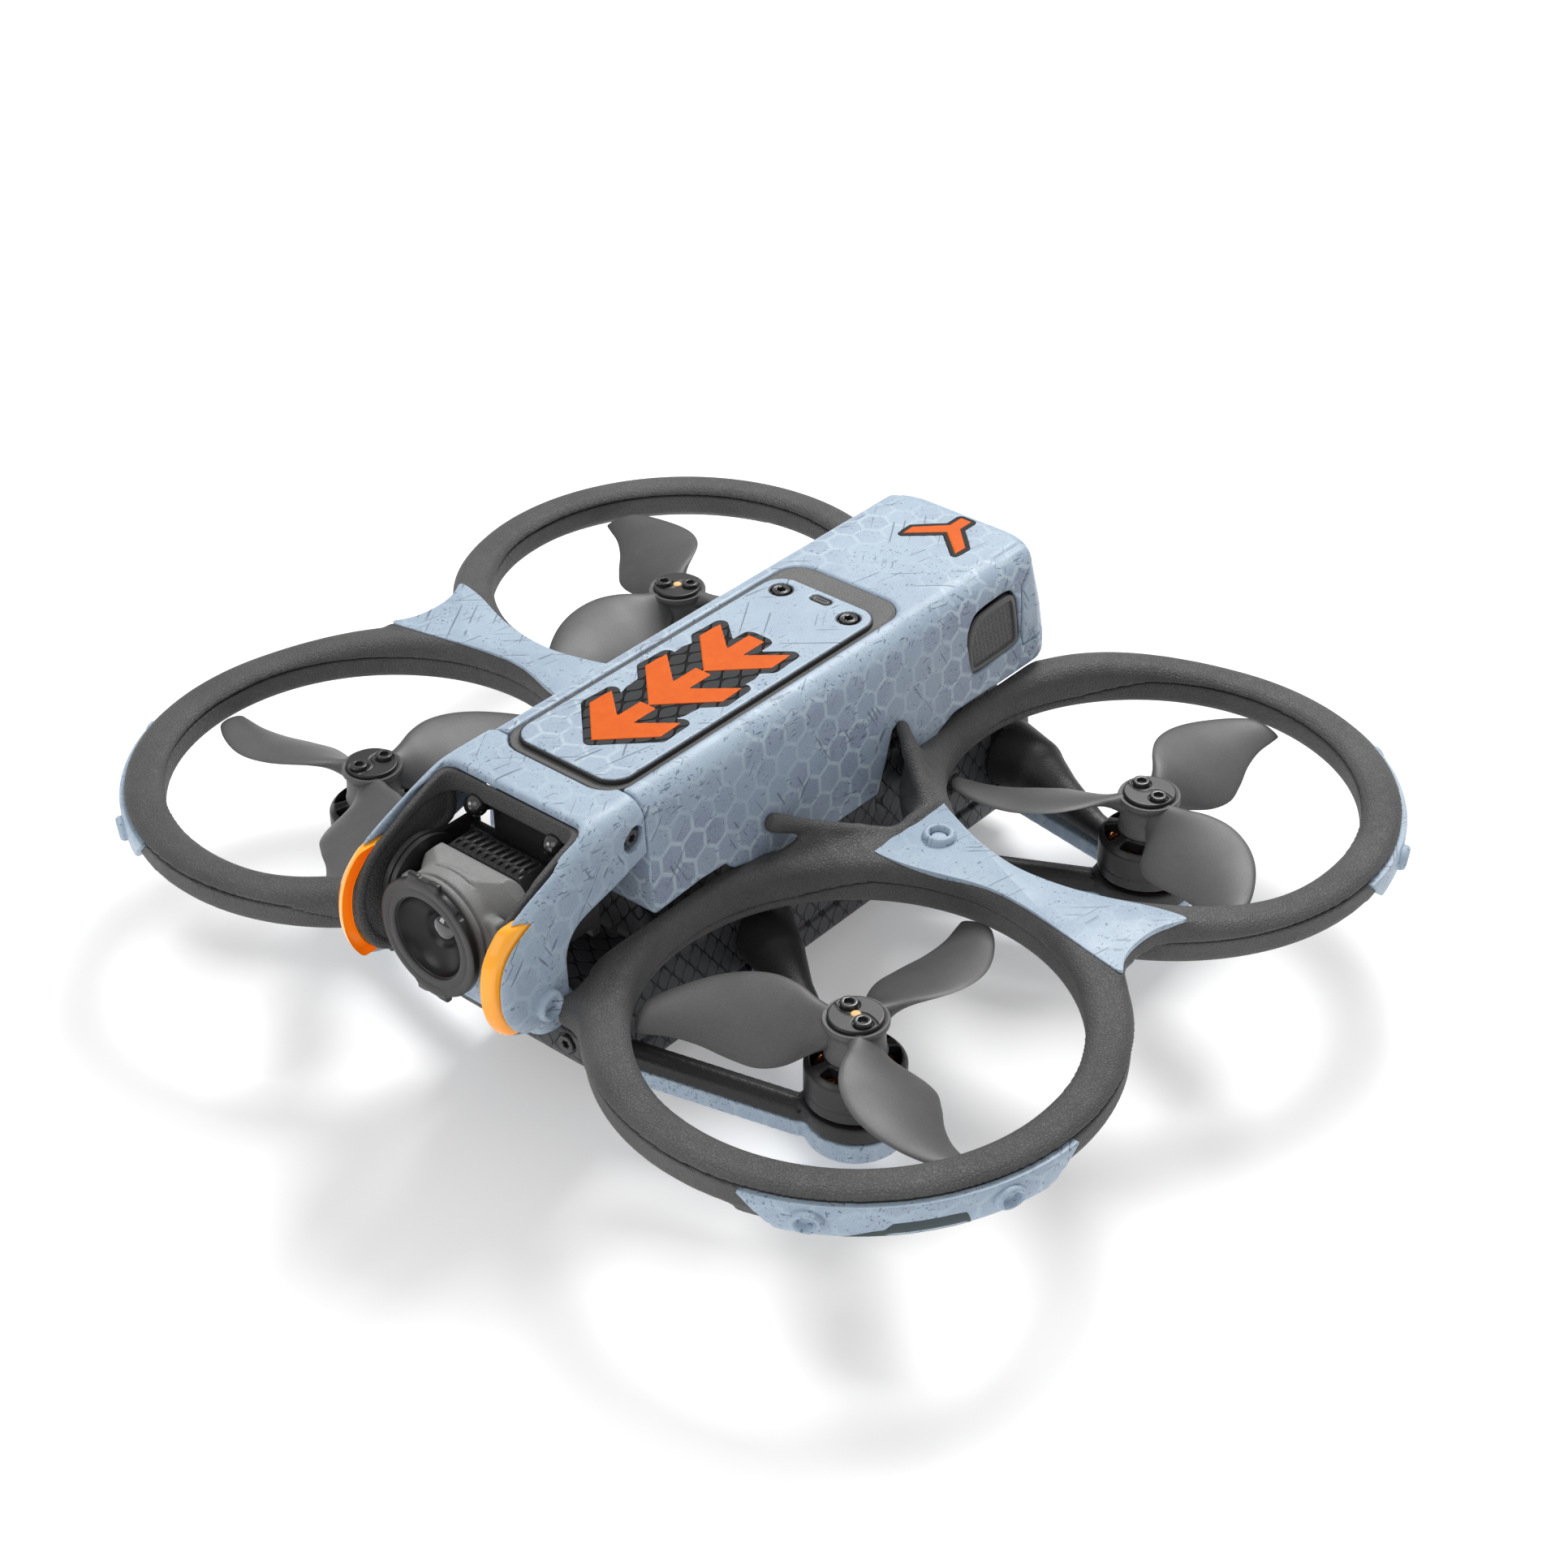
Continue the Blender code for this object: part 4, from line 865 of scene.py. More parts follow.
BLADE_STATIONS = (
    (3.6, 6.4, 44.0, 0.0, 4.2), (7.0, 9.8, 36.0, 0.3, 2.3), (11.0, 15.4, 27.0, 0.6, 1.4),
    (15.0, 18.4, 22.0, 0.4, 1.1), (20.0, 18.0, 19.0, -0.3, 1.0), (26.0, 14.8, 16.5, -0.5, 0.9),
    (31.0, 11.4, 15.0, 0.7, 0.85), (34.5, 9.0, 14.0, 2.4, 0.8), (36.6, 7.0, 13.4, 3.7, 0.75),
)


def blade(handed, start):
    radii = np.concatenate([np.linspace(3.6, 36.2, 40), [36.6, 36.9, 37.15, 37.3]])
    table = np.array(BLADE_STATIONS).T
    columns = [curve_through(table[0], table[i], np.minimum(radii, 36.6)) for i in (1, 2, 3, 4)]
    around = np.linspace(0, 2 * math.pi, 24, endpoint=False)
    rings = []
    for radius, chord, pitch, sweep, thick in zip(radii, *columns):
        end_round = max(0.0, (radius - 36.2) / 1.1)
        chord *= math.sqrt(max(1 - end_round ** 2, 0.12))
        thick *= max(1 - end_round * 0.8, 0.2)
        along = 0.5 * chord * np.cos(around)
        height = 0.5 * thick * np.sin(around) * (1.15 - 0.3 * np.cos(around))
        height += 0.05 * chord * (1 - np.cos(around) ** 2)
        c, s = math.cos(math.radians(pitch)), math.sin(math.radians(pitch))
        flat = handed * (along * c + height * s + sweep)
        up = 30.1 + height * c - along * s
        turn = math.radians(start)
        rings.append([(radius * math.cos(turn) - f * math.sin(turn),
            radius * math.sin(turn) + f * math.cos(turn), u)
                      for f, u in zip(flat, up)])
    return rings


def make_propellers():
    hub_profile = [(0, 33.0), (4.9, 33.0), (5.3, 33.25), (5.75, 33.2), (5.9, 32.8), (5.85, 32.2),
        (5.3, 31.7),
                   (5.15, 30.5), (5.3, 27.2), (5.6, 26.3), (5.5, 25.8), (2.7, 25.8), (2.7, 31.0),
                   (0, 31.0)]
    grid = Grid((-5.3, -5.3, 32.9), (5.3, 5.3, 34.9), 0.13)
    disc = round_box((np.hypot(grid.x, grid.y), grid.z), (0, 33.4), (4.95, 0.5), 0.25)
    screws, sockets = None, None
    for sign in (-1, 1):
        x, y = grid.x - sign * 2.75, grid.y - sign * 0.2
        head = round_box((np.hypot(x, y), grid.z), (0, 33.9), (1.62, 0.75), 0.22)
        six = highest(np.abs(x), np.abs(0.5 * x + 0.866 * y), np.abs(0.5 * x - 0.866 * y)) - 0.82
        socket = np.maximum(six, 33.9 - grid.z)
        seat = np.maximum(np.hypot(x, y) - 1.85, 33.6 - grid.z)
        disc = np.maximum(disc, -seat)
        screws = head if screws is None else np.minimum(screws, head)
        sockets = socket if sockets is None else np.minimum(sockets, socket)
    groove_points = [(-4.9, -2.6), (-1.2, -2.1), (0.2, -0.9), (-0.2, 0.9), (1.2, 2.1), (4.9, 2.6)]
    path = smooth_outline_open(groove_points)
    groove = polyline((grid.x, grid.y, grid.z), [(x, y, 33.95) for x, y in path], [0.22] * len(path))
    plate = surface(grid, np.maximum(disc, -groove))
    heads = surface(grid, np.maximum(screws, -sockets))
    dot = Solid().turned([(0, 34.12), (0.5, 34.1), (0.85, 33.98), (0.95, 33.7)], 24).data()
    for name, side, end, start in CORNERS:
        place = (side * ROTOR_X, end * ROTOR_Y, 0)
        handed = -side * end
        made = Solid()
        made.turned(hub_profile, 64)
        for step in range(3):
            made.loft(blade(handed, start + 120 * step))
        verts, faces = made.data()
        add_piece(f"propeller_blades_{name}", moved(verts, place), faces, BLADE, f"rotor_{name}",
                  [f"propeller_{name}"], sharp=50)
        turn = start + 62
        add_piece(f"hub_plate_{name}", moved(plate[0], place, turn), plate[1], BLACK, f"rotor_{name}",
                  [f"propeller_clamp_{name}"], sharp=40)
        add_piece(f"hub_screws_{name}", moved(heads[0], place, turn), heads[1], STEEL, f"rotor_{name}",
            sharp=40)
        if handed > 0:
            add_piece(f"hub_dot_{name}", moved(dot[0], place, turn), dot[1], DOT, f"rotor_{name}")


def smooth_outline_open(points, rounds=2):
    points = np.array(points, float)
    for _ in range(rounds):
        inner = np.stack([points[:-1] * 0.75 + points[1:] * 0.25, points[:-1] * 0.25 + points[1:] * 0.75],
            1).reshape(-1, 2)
        points = np.concatenate([points[:1], inner, points[-1:]])
    return points


def make_motors():
    grid = Grid((-9.6, -9.6, 15.8), (9.6, 9.6, 26.6), 0.22)
    r = np.hypot(grid.x, grid.y)
    profile = [(0.0, 25.7), (5.2, 25.6), (7.9, 24.9), (9.0, 23.6), (9.0, 16.8), (8.1, 16.8), (8.1, 23.0),
        (0.0, 23.0)]
    field = polygon(np.broadcast_to(r, grid.shape), grid.z, profile)
    turn = np.degrees(np.arctan2(grid.y, grid.x))
    local = (turn - 12.0 + 30.0) % 60.0 - 30.0
    window = np.maximum((np.abs(local) - 21.0) * np.radians(1) * r, np.abs(r - 6.7) - 1.15)
    window = np.maximum(window, 22.2 - grid.z)
    field = np.maximum(field, -window)
    line = np.maximum(np.abs(grid.z - 19.2) - 0.13, 8.85 - r)
    field = np.maximum(blur(field, 1), -line)
    bell = surface(grid, field)
    grid = Grid((-7.9, -7.9, 16.2), (7.9, 7.9, 23.0), 0.28)
    coils = np.full(grid.shape, 9.0)
    for tooth in range(9):
        a = math.radians(40 * tooth)
        u = grid.x * math.cos(a) + grid.y * math.sin(a)
        v = -grid.x * math.sin(a) + grid.y * math.cos(a)
        coils = union(coils, round_box((u, v, grid.z), (4.7, 0, 19.6), (1.9, 1.55, 2.7), 1.2), 0.3)
        shoe = round_box((np.hypot(grid.x, grid.y), v + 0 * u, grid.z), (7.1, 0, 19.6), (0.35, 2.1, 2.3),
            0.2)
        coils = union(coils, np.maximum(shoe, -u), 0.1)
    core = np.maximum(np.hypot(grid.x, grid.y) - 3.2, slab(grid.z, 16.6, 22.4))
    coils = np.maximum(np.minimum(coils, core), 1.5 - np.hypot(grid.x, grid.y))
    windings = surface(grid, coils)
    for name, side, end, start in CORNERS:
        place = (side * ROTOR_X, end * ROTOR_Y, 0)
        shaft = Solid().turned([(0, 31.0), (2.3, 31.0), (2.3, 25.2), (0, 25.2)], 32)
        pin = Solid().turned([(0, 24.0), (1.1, 24.0), (1.1, 17.8), (0, 17.8)], 20)
        parts = [bell, shaft.data(), pin.data()]
        add_piece(f"motor_bell_{name}", *merged(parts, place, start), BLACK, f"rotor_{name}",
                  [f"rotor_bell_{name}"], sharp=40)
        add_piece(f"motor_coils_{name}", moved(windings[0], place), windings[1], COPPER, "airframe",
                  [f"stator_{name}"])


def merged(parts, shift=(0, 0, 0), turn=0.0):
    """Several (verts, faces) as one."""
    verts, faces, count = [], [], 0
    for v, f in parts:
        verts.append(np.asarray(v, float))
        faces += [[i + count for i in face] for face in (f.tolist() if isinstance(f, np.ndarray) else f)]
        count += len(v)
    return moved(np.concatenate(verts), shift, turn), faces


def make_arms():
    """Front arms have a slim outer strut and a conical inner one; rear arms have a big rear root."""
    for end in (-1, 1):
        tip_out, tip_in = (52.0, end * 49.3), (53.0, end * 37.6)
        grid = Grid((17.5, min(end * 14, end * 64), 11.6), (69.5, max(end * 14, end * 64), 27.5), 0.45)
        p = (grid.x, grid.y, grid.z)
        mount = np.maximum(np.hypot(grid.x - ROTOR_X, grid.y - end * ROTOR_Y) - 9.15,
            slab(grid.z, 12.35, 15.8))
        if end < 0:
            slim, fat = ((18.6, -57.5), tip_out), ((18.8, -20.4), tip_in)
            fat_path = [(19.0, -20.8, 19.2), (25.5, -24.2, 18.7), (33.5, -28.9, 17.0),
                (43.0, -33.3, 15.1), (55.0, -39.2, 14.4)]
            fat_radii = (6.3, 5.2, 3.6, 2.5, 2.1)
        else:
            slim, fat = ((18.6, 20.0), tip_in), ((18.8, 54.4), tip_out)
            fat_path = [(19.0, 54.4, 19.6), (25.5, 53.6, 19.2), (33.5, 52.0, 17.2), (43.0, 50.2, 15.1),
                (55.0, 47.6, 14.4)]
            fat_radii = (6.9, 6.2, 4.1, 2.6, 2.1)
        (ax, ay), (bx, by) = slim
        beam = capsule((grid.x, grid.y), (ax, ay), (bx, by), 2.55)
        beam = np.maximum(beam, slab(grid.z, 12.35, 14.6))
        bead = capsule(p, (ax, ay, 14.35), (bx + 2, by, 14.35), 1.35)
        ledge = capsule((grid.x, grid.y), (ax, ay), (bx, by), 2.9)
        ledge = np.maximum(ledge, slab(grid.z, 12.35, 13.2))
        field = union(union(mount, union(beam, bead, 1.0), 1.2), ledge, 0.2)
        fat_field = polyline(p, fat_path, fat_radii)
        field = union(field, fat_field, 1.5)
        field = np.maximum(field, 3.2 - np.hypot(grid.x - ROTOR_X, grid.y - end * ROTOR_Y))
        field = highest(blur(field, 1), 12.4 - grid.z, 18.25 - grid.x)
        seam = np.abs(capsule((grid.x, grid.y), (ROTOR_X, end * ROTOR_Y), (ROTOR_X + 0.01, end * ROTOR_Y),
            9.9)) - 0.14
        field = np.maximum(field, -np.maximum(seam, 13.6 - grid.z))
        upper = surface(grid, field)

        grid = Grid((17.5, min(end * 14, end * 64), 7.2), (69.5, max(end * 14, end * 64), 12.6), 0.45)
        base = round_box((np.hypot(grid.x - ROTOR_X, grid.y - end * ROTOR_Y), grid.z), (0, 10.9),
            (9.15, 3.0), 1.0)
        lower = base
        for (ax, ay), (bx, by) in (slim, fat):
            beam = round_box((capsule((grid.x, grid.y), (ax, ay), (bx, by), 0.0), grid.z), (0, 11.3),
                (2.75, 2.5), 0.6)
            lower = union(lower, beam, 0.8)
        lower = highest(lower, grid.z - 12.2, 18.25 - grid.x,
            3.0 - np.hypot(grid.x - ROTOR_X, grid.y - end * ROTOR_Y))
        cover = surface(grid, lower)
        for side, name in SIDES:
            corner = ("front_" if end < 0 else "rear_") + name
            top, under = (upper, cover) if side > 0 else (mirrored(*upper), mirrored(*cover))
            add_piece(f"arm_{corner}", *top, SATIN, "airframe", [f"motor_arm_{corner}"])
            add_piece(f"arm_skin_{corner}", *under, SKIN_PLAIN, "airframe", [f"arm_cover_{corner}"])


# ---------------------------------------------------------------- body shell and top plate

SHELL_SIDE = [
    (-50.1, 75), (-50.1, 39.7), (-37.7, 40.5), (-31.2, 40.2), (-29.5, 38.2), (-25.2, 37.0), (-20.1, 35.6),
    (-14.5, 33.2), (-12.5, 32.6), (11.3, 32.6), (15.7, 44.4), (17.4, 45.3), (19.6, 43.6), (22.5, 36.0),
    (24.5, 33.5), (27.0, 33.0), (29.3, 37.2), (34.3, 39.3), (75, 39.0), (75, 75),
]
LATCH_SLOT = [(51.8, 58.1), (54.2, 56.1), (55.6, 47.3), (55.4, 45), (41.7, 44), (39.9, 45.6),
    (38.8, 53.4), (40.4, 56.6), (42.8, 57.6)]
TAIL = ((30, 69.8), (44, 69.2), (50, 68.0), (60.6, 64.8), (62.4, 63.7), (63.2, 62.3), (66, 56))


def body_field(grid, shrink=0.0):
    """Fuselage section closed by the rounded tail."""
    half = 19.2 + 1.2 * np.clip((58.0 - grid.z) / 18.0, 0.0, 1.0)
    section = round_box((grid.x * 20.0 / half, grid.z), (0, 0), (20 - shrink, 63.4 - shrink),
        5.4 - shrink)
    rear = np.interp(grid.z, *zip(*TAIL))
    plan = round_box((grid.x, grid.y - rear), (0, -100), (20.5 - shrink, 100 - shrink), 11.0 - shrink)
    return np.maximum(section, plan)


def rounded_plan(grid, low, high, radius):
    center = [(a + b) / 2 for a, b in zip(low, high)]
    half = [(b - a) / 2 for a, b in zip(low, high)]
    return round_box((grid.x, grid.y), center, half, radius)


def chevron(grid, tip, reach, thick, center=0.0, sign=1):
    side = np.abs(grid.x - center)
    y = (grid.y - tip) * sign
    return polygon(side, y, [(-2, 0), (0, 0), (reach, reach * 0.98),
        (reach * 0.97, reach * 0.98 + thick * 0.8), (0, thick), (-2, thick)])


def flat_piece(grid, plan, low, high):
    return surface(grid, np.maximum(plan, slab(grid.z, low, high)))


def torx_screw(head, height):
    """Dome-edged screw head with a six-lobed socket, its top at z = 0."""
    grid = Grid((-head - 0.4, -head - 0.4, -height - 0.3), (head + 0.4, head + 0.4, 0.4), head / 14)
    r, turn = np.hypot(grid.x, grid.y), np.arctan2(grid.y, grid.x)
    body = round_box((r, grid.z), (0, -height / 2), (head, height / 2), head * 0.14)
    ring = np.maximum(np.abs(r - head * 0.74) - head * 0.035, -0.09 - grid.z)
    lobes = r - head * (0.47 + 0.075 * np.cos(6 * turn))
    socket = np.maximum(lobes, -height * 0.7 - grid.z)
    return surface(grid, without(body, socket, ring))


def turned_to(data, axis, place):
    """Lay a piece made along +Z along another axis and move it."""
    verts = np.array(data[0], float)
    x, y, z = verts[:, 0], verts[:, 1], verts[:, 2]
    verts = {"X": np.stack([z, x, y], 1), "-X": np.stack([-z, -x, y], 1), "Y": np.stack([y, z, x], 1),
             "-Y": np.stack([x, -z, y], 1), "Z": verts}[axis]
    return verts + np.array(place), data[1]


def make_body():
    grid = Grid((-21.2, -51.0, 31.8), (21.2, 70.6, 64.4), 0.4)
    side = np.abs(grid.x)
    outer = body_field(grid)
    inner = round_box((side, grid.z), (0, 30), (18.2, 30.2), 3.2)
    inner = np.maximum(inner, -48.3 - grid.y)
    field = np.maximum(outer, -inner)
    field = np.maximum(field, polygon(grid.y, grid.z, SHELL_SIDE)[0:1] + 0 * side)
    tail = polygon(grid.y, grid.z, [(56, 43.6), (56, 57), (58.3, 59.2), (60.5, 60.3), (80, 60.3),
        (80, 43.6)])
    field = np.maximum(field, -tail)
    sill = highest(body_field(grid), slab(grid.z, 39.0, 43.7), 47.0 - grid.y)
    field = np.minimum(field, sill)
    slot = np.maximum(polygon(grid.y, grid.z, smooth_outline(LATCH_SLOT, 1)), 16.5 - side)
    pocket = np.maximum(rounded_plan(grid, (-13.9, -53.5), (13.9, 27.6), 5.6), 61.9 - grid.z)
    groove = np.maximum(capsule((side, grid.y), (15.2, 52.5), (15.2, 61.5), 0.32), 62.7 - grid.z)
    field = without(field, slot, pocket, groove)
    field = blur(field, 1)
    add_piece("body_shell", *surface(grid, field), SKIN, "airframe", ["upper_shell"])

    grid = Grid((-14.4, -53.2, 61.4), (14.4, 28.2, 63.8), 0.25)
    plan = rounded_plan(grid, (-13.85, -52.75), (13.85, 27.55), 5.6)
    top = 62.75 + 0.4 * np.clip((plan + 0.45) / 0.35, 0, 1) + 0.3 * np.clip((grid.y - 22.6) / 4.6, 0, 1)
    field = highest(plan, (grid.z - np.minimum(top, 63.1)) * 0.7, 61.95 - grid.z)
    add_piece("plate_channel", *surface(grid, field), GREY, "airframe")

    grid = Grid((-13.4, -51.6, 61.6), (13.4, 22.4, 64.6), 0.25)
    plan = rounded_plan(grid, (-12.75, -50.9), (12.75, 21.6), 4.7)
    holes = np.minimum(np.hypot(np.abs(grid.x) - 8.2, grid.y - 17.0) - 2.05,
        rounded_plan(grid, (-2.1, 18.0), (2.1, 19.7), 0.8))
    frame_field = highest(plan, -holes, slab(grid.z, 62.2, 63.62))
    add_piece("plate_base", *surface(grid, frame_field), SATIN, "airframe", ["top_plate"])
    skin_field = np.maximum(plan + 0.3, -holes + 0.3)
    add_piece("plate_skin", *flat_piece(grid, skin_field, 63.4, 63.82), SKIN, "airframe")
    slot_rim = rounded_plan(grid, (-2.05, 18.05), (2.05, 19.65), 0.8)
    add_piece("plate_slot", *flat_piece(grid, np.maximum(slot_rim, -slot_rim - 0.75), 62.3, 63.8), GREY,
        "airframe")

    grid = Grid((-12.6, -47.0, 63.4), (12.6, 4.5, 64.6), 0.2)
    marks = None
    for tip, reach in ((-43.2, 8.6), (-28.6, 9.4), (-14.0, 8.8)):
        part = np.minimum(chevron(grid, tip, reach, 7.0), round_box((grid.x, grid.y), (0, tip + 10.3),
            (1.9, 4.3), 0.3))
        marks = part if marks is None else np.minimum(marks, part)
    patch = np.minimum(marks - 1.5, polygon(np.abs(grid.x), grid.y, [(-2, -40), (4, -36), (7.2, -27),
        (8.8, -10), (7, -3.5), (-2, -7.5)]))
    add_piece("plate_inlay", *flat_piece(grid, patch, 63.55, 63.9), PATCH, "airframe")
    add_piece("plate_chevrons", *flat_piece(grid, marks, 63.6, 64.02), ORANGE, "airframe")
    grid = Grid((-7.5, 44.6, 62.9), (11.5, 61.6, 64.2), 0.2)
    mark = np.minimum(chevron(grid, 58.2, 6.6, 3.9, 2.1, -1),
        round_box((grid.x, grid.y), (2.1, 58.0), (1.3, 2.6), 0.3))
    add_piece("tail_inlay", *flat_piece(grid, mark - 0.95, 63.1, 63.52), INK, "airframe")
    add_piece("tail_chevron", *flat_piece(grid, mark, 63.2, 63.64), ORANGE, "airframe")

    screw = torx_screw(1.75, 1.4)
    for turn, name in SIDES:
        add_piece(f"plate_screw_{name}", *turned_to(screw, "Z", (turn * 8.2, 17.0, 63.9)), STEEL,
            "airframe",
                  [f"top_plate_screw_{name}"], sharp=40)


# ---------------------------------------------------------------- bumper

BUMPER_OUTER = [
    (-40, 63.4), (-62.5, 63.4), (-70, 60.9), (-78.5, 57.3), (-83.6, 54.4), (-87.0, 50.8), (-88.4, 46.5),
    (-88.4, 41), (-86.9, 36), (-84, 32.2), (-79, 30.2), (-72, 30.0), (-40, 30.0),
]
BUMPER_INNER = [(-71, 20), (-71, 33), (-71.4, 43.5), (-68.4, 47.6), (-59, 49.8), (-49, 52.8), (-40, 54),
    (-40, 20)]
BEZEL_OUTLINE = [
    (-61.4, 62.3), (-66.5, 60.9), (-70.8, 59.0), (-79.0, 55.4), (-83.6, 52.3), (-86.3, 47.0),
    (-86.3, 41.0), (-84.6, 36.6), (-82.2, 33.4),
    (-78.2, 31.4), (-73.5, 31.2), (-72.6, 34.2), (-72.8, 44.2), (-69.4, 49.0), (-61.4, 50.8),
]


def bumper_field(grid):
    half = 19.3 + 1.1 * np.clip((58.0 - grid.z) / 18.0, 0.0, 1.0)
    side = np.abs(grid.x) - half
    outer = polygon(grid.y, grid.z, smooth_outline(BUMPER_OUTER, 2))
    inner = -polygon(grid.y, grid.z, smooth_outline(BUMPER_INNER, 2))
    return rounded(outer, side, 4.2), rounded(inner, side, 1.2)


def make_bumper():
    grid = Grid((-21.2, -89.2, 29.2), (21.2, -49.8, 64.2), 0.35)
    side = np.abs(grid.x)
    outside, inside = bumper_field(grid)
    field = highest(outside, inside, grid.y + 50.45)
    window = round_box((side, grid.y), (0, -90), (16.6, 28.0), 3.0)
    hollow = round_box((side, grid.z), (0, 36), (17.4, 25.4), 3.0)
    field = without(field, window, hollow)
    pocket = np.maximum(rounded_plan(grid, (-13.9, -53.2), (13.9, 27.6), 5.6), 61.9 - grid.z)
    light = round_box((outside, grid.z, side), (0.0, 43.6, 16.9), (2.1, 10.8, 2.2), 0.8)
    light = np.maximum(light, grid.y + 76.0)
    hole = np.maximum(capsule((grid.y, grid.z), (-53.9, 56.7), (-52.9, 57.5), 1.9), 17.0 - side)
    field = blur(field, 1)
    field = without(field, pocket, light, hole)
    add_piece("bumper_shell", *surface(grid, field), SKIN_PLAIN, "airframe", ["front_bumper"])

    fine = Grid((16.6, -89.4, 32.4), (20.8, -76.4, 54.8), 0.2)
    edge, _ = bumper_field(fine)
    strip = round_box((edge, fine.z, fine.x), (-0.9, 43.6, 17.4), (1.1, 10.6, 1.55), 0.55)
    strip = np.maximum(strip, fine.y + 76.2)
    lens = surface(fine, blur(strip, 1))
    boss = [(0, 0.3), (1.3, 0.3), (1.5, 0.5), (1.65, 1.2), (1.95, 1.55), (2.35, 1.55), (2.65, 1.3),
        (2.85, 0.7), (2.9, -0.4), (0, -0.4)]
    ring = Solid().turned(boss, 40).data()
    screw, lug_screw = torx_screw(1.6, 1.2), torx_screw(1.6, 2.0)
    for sign, name in SIDES:
        flip = (lambda d: d) if sign > 0 else (lambda d: mirrored(*d))
        add_piece(f"amber_strip_{name}", *flip(lens), AMBER, "airframe", [f"bumper_light_{name}"])
        add_piece(f"bumper_boss_{name}", *flip(turned_to(ring, "X", (20.3, -77.0, 36.6))), SKIN_PLAIN,
            "airframe", sharp=50)
        add_piece(f"side_screw_{name}", *flip(turned_to(screw, "X", (18.75, -53.4, 57.1))), STEEL,
            "airframe",
                  [f"bumper_side_screw_{name}"], sharp=40)
        add_piece(f"lug_screw_{name}", *flip(turned_to(lug_screw, "-Y", (22.7, -75.8, 28.4))), STEEL,
            "airframe",
                  [f"bumper_lug_screw_{name}"], sharp=40)

    grid = Grid((-17.0, -87.0, 30.6), (17.0, -60.4, 63.0), 0.3)
    side = np.abs(grid.x)
    outline = polygon(grid.y, grid.z, smooth_outline(BEZEL_OUTLINE, 2))
    cheek = rounded(outline, np.abs(side - 15.9) - 0.65, 0.6)
    thin = np.maximum(cheek, -np.maximum(outline + 1.9, side - 15.75))
    bar = np.maximum(round_box((side, grid.y), (0, -88), (16.5, 27.3), 3.6),
        -round_box((side, grid.y), (0, -88), (15.2, 25.4), 3.0))
    bar = highest(bar, slab(grid.z, 57.5, 62.9), outline - 0.2)
    field = blur(np.minimum(thin, bar), 1)
    add_piece("bumper_rim", *surface(grid, field), GUARD, "airframe", ["camera_bezel"])


# ---------------------------------------------------------------- camera

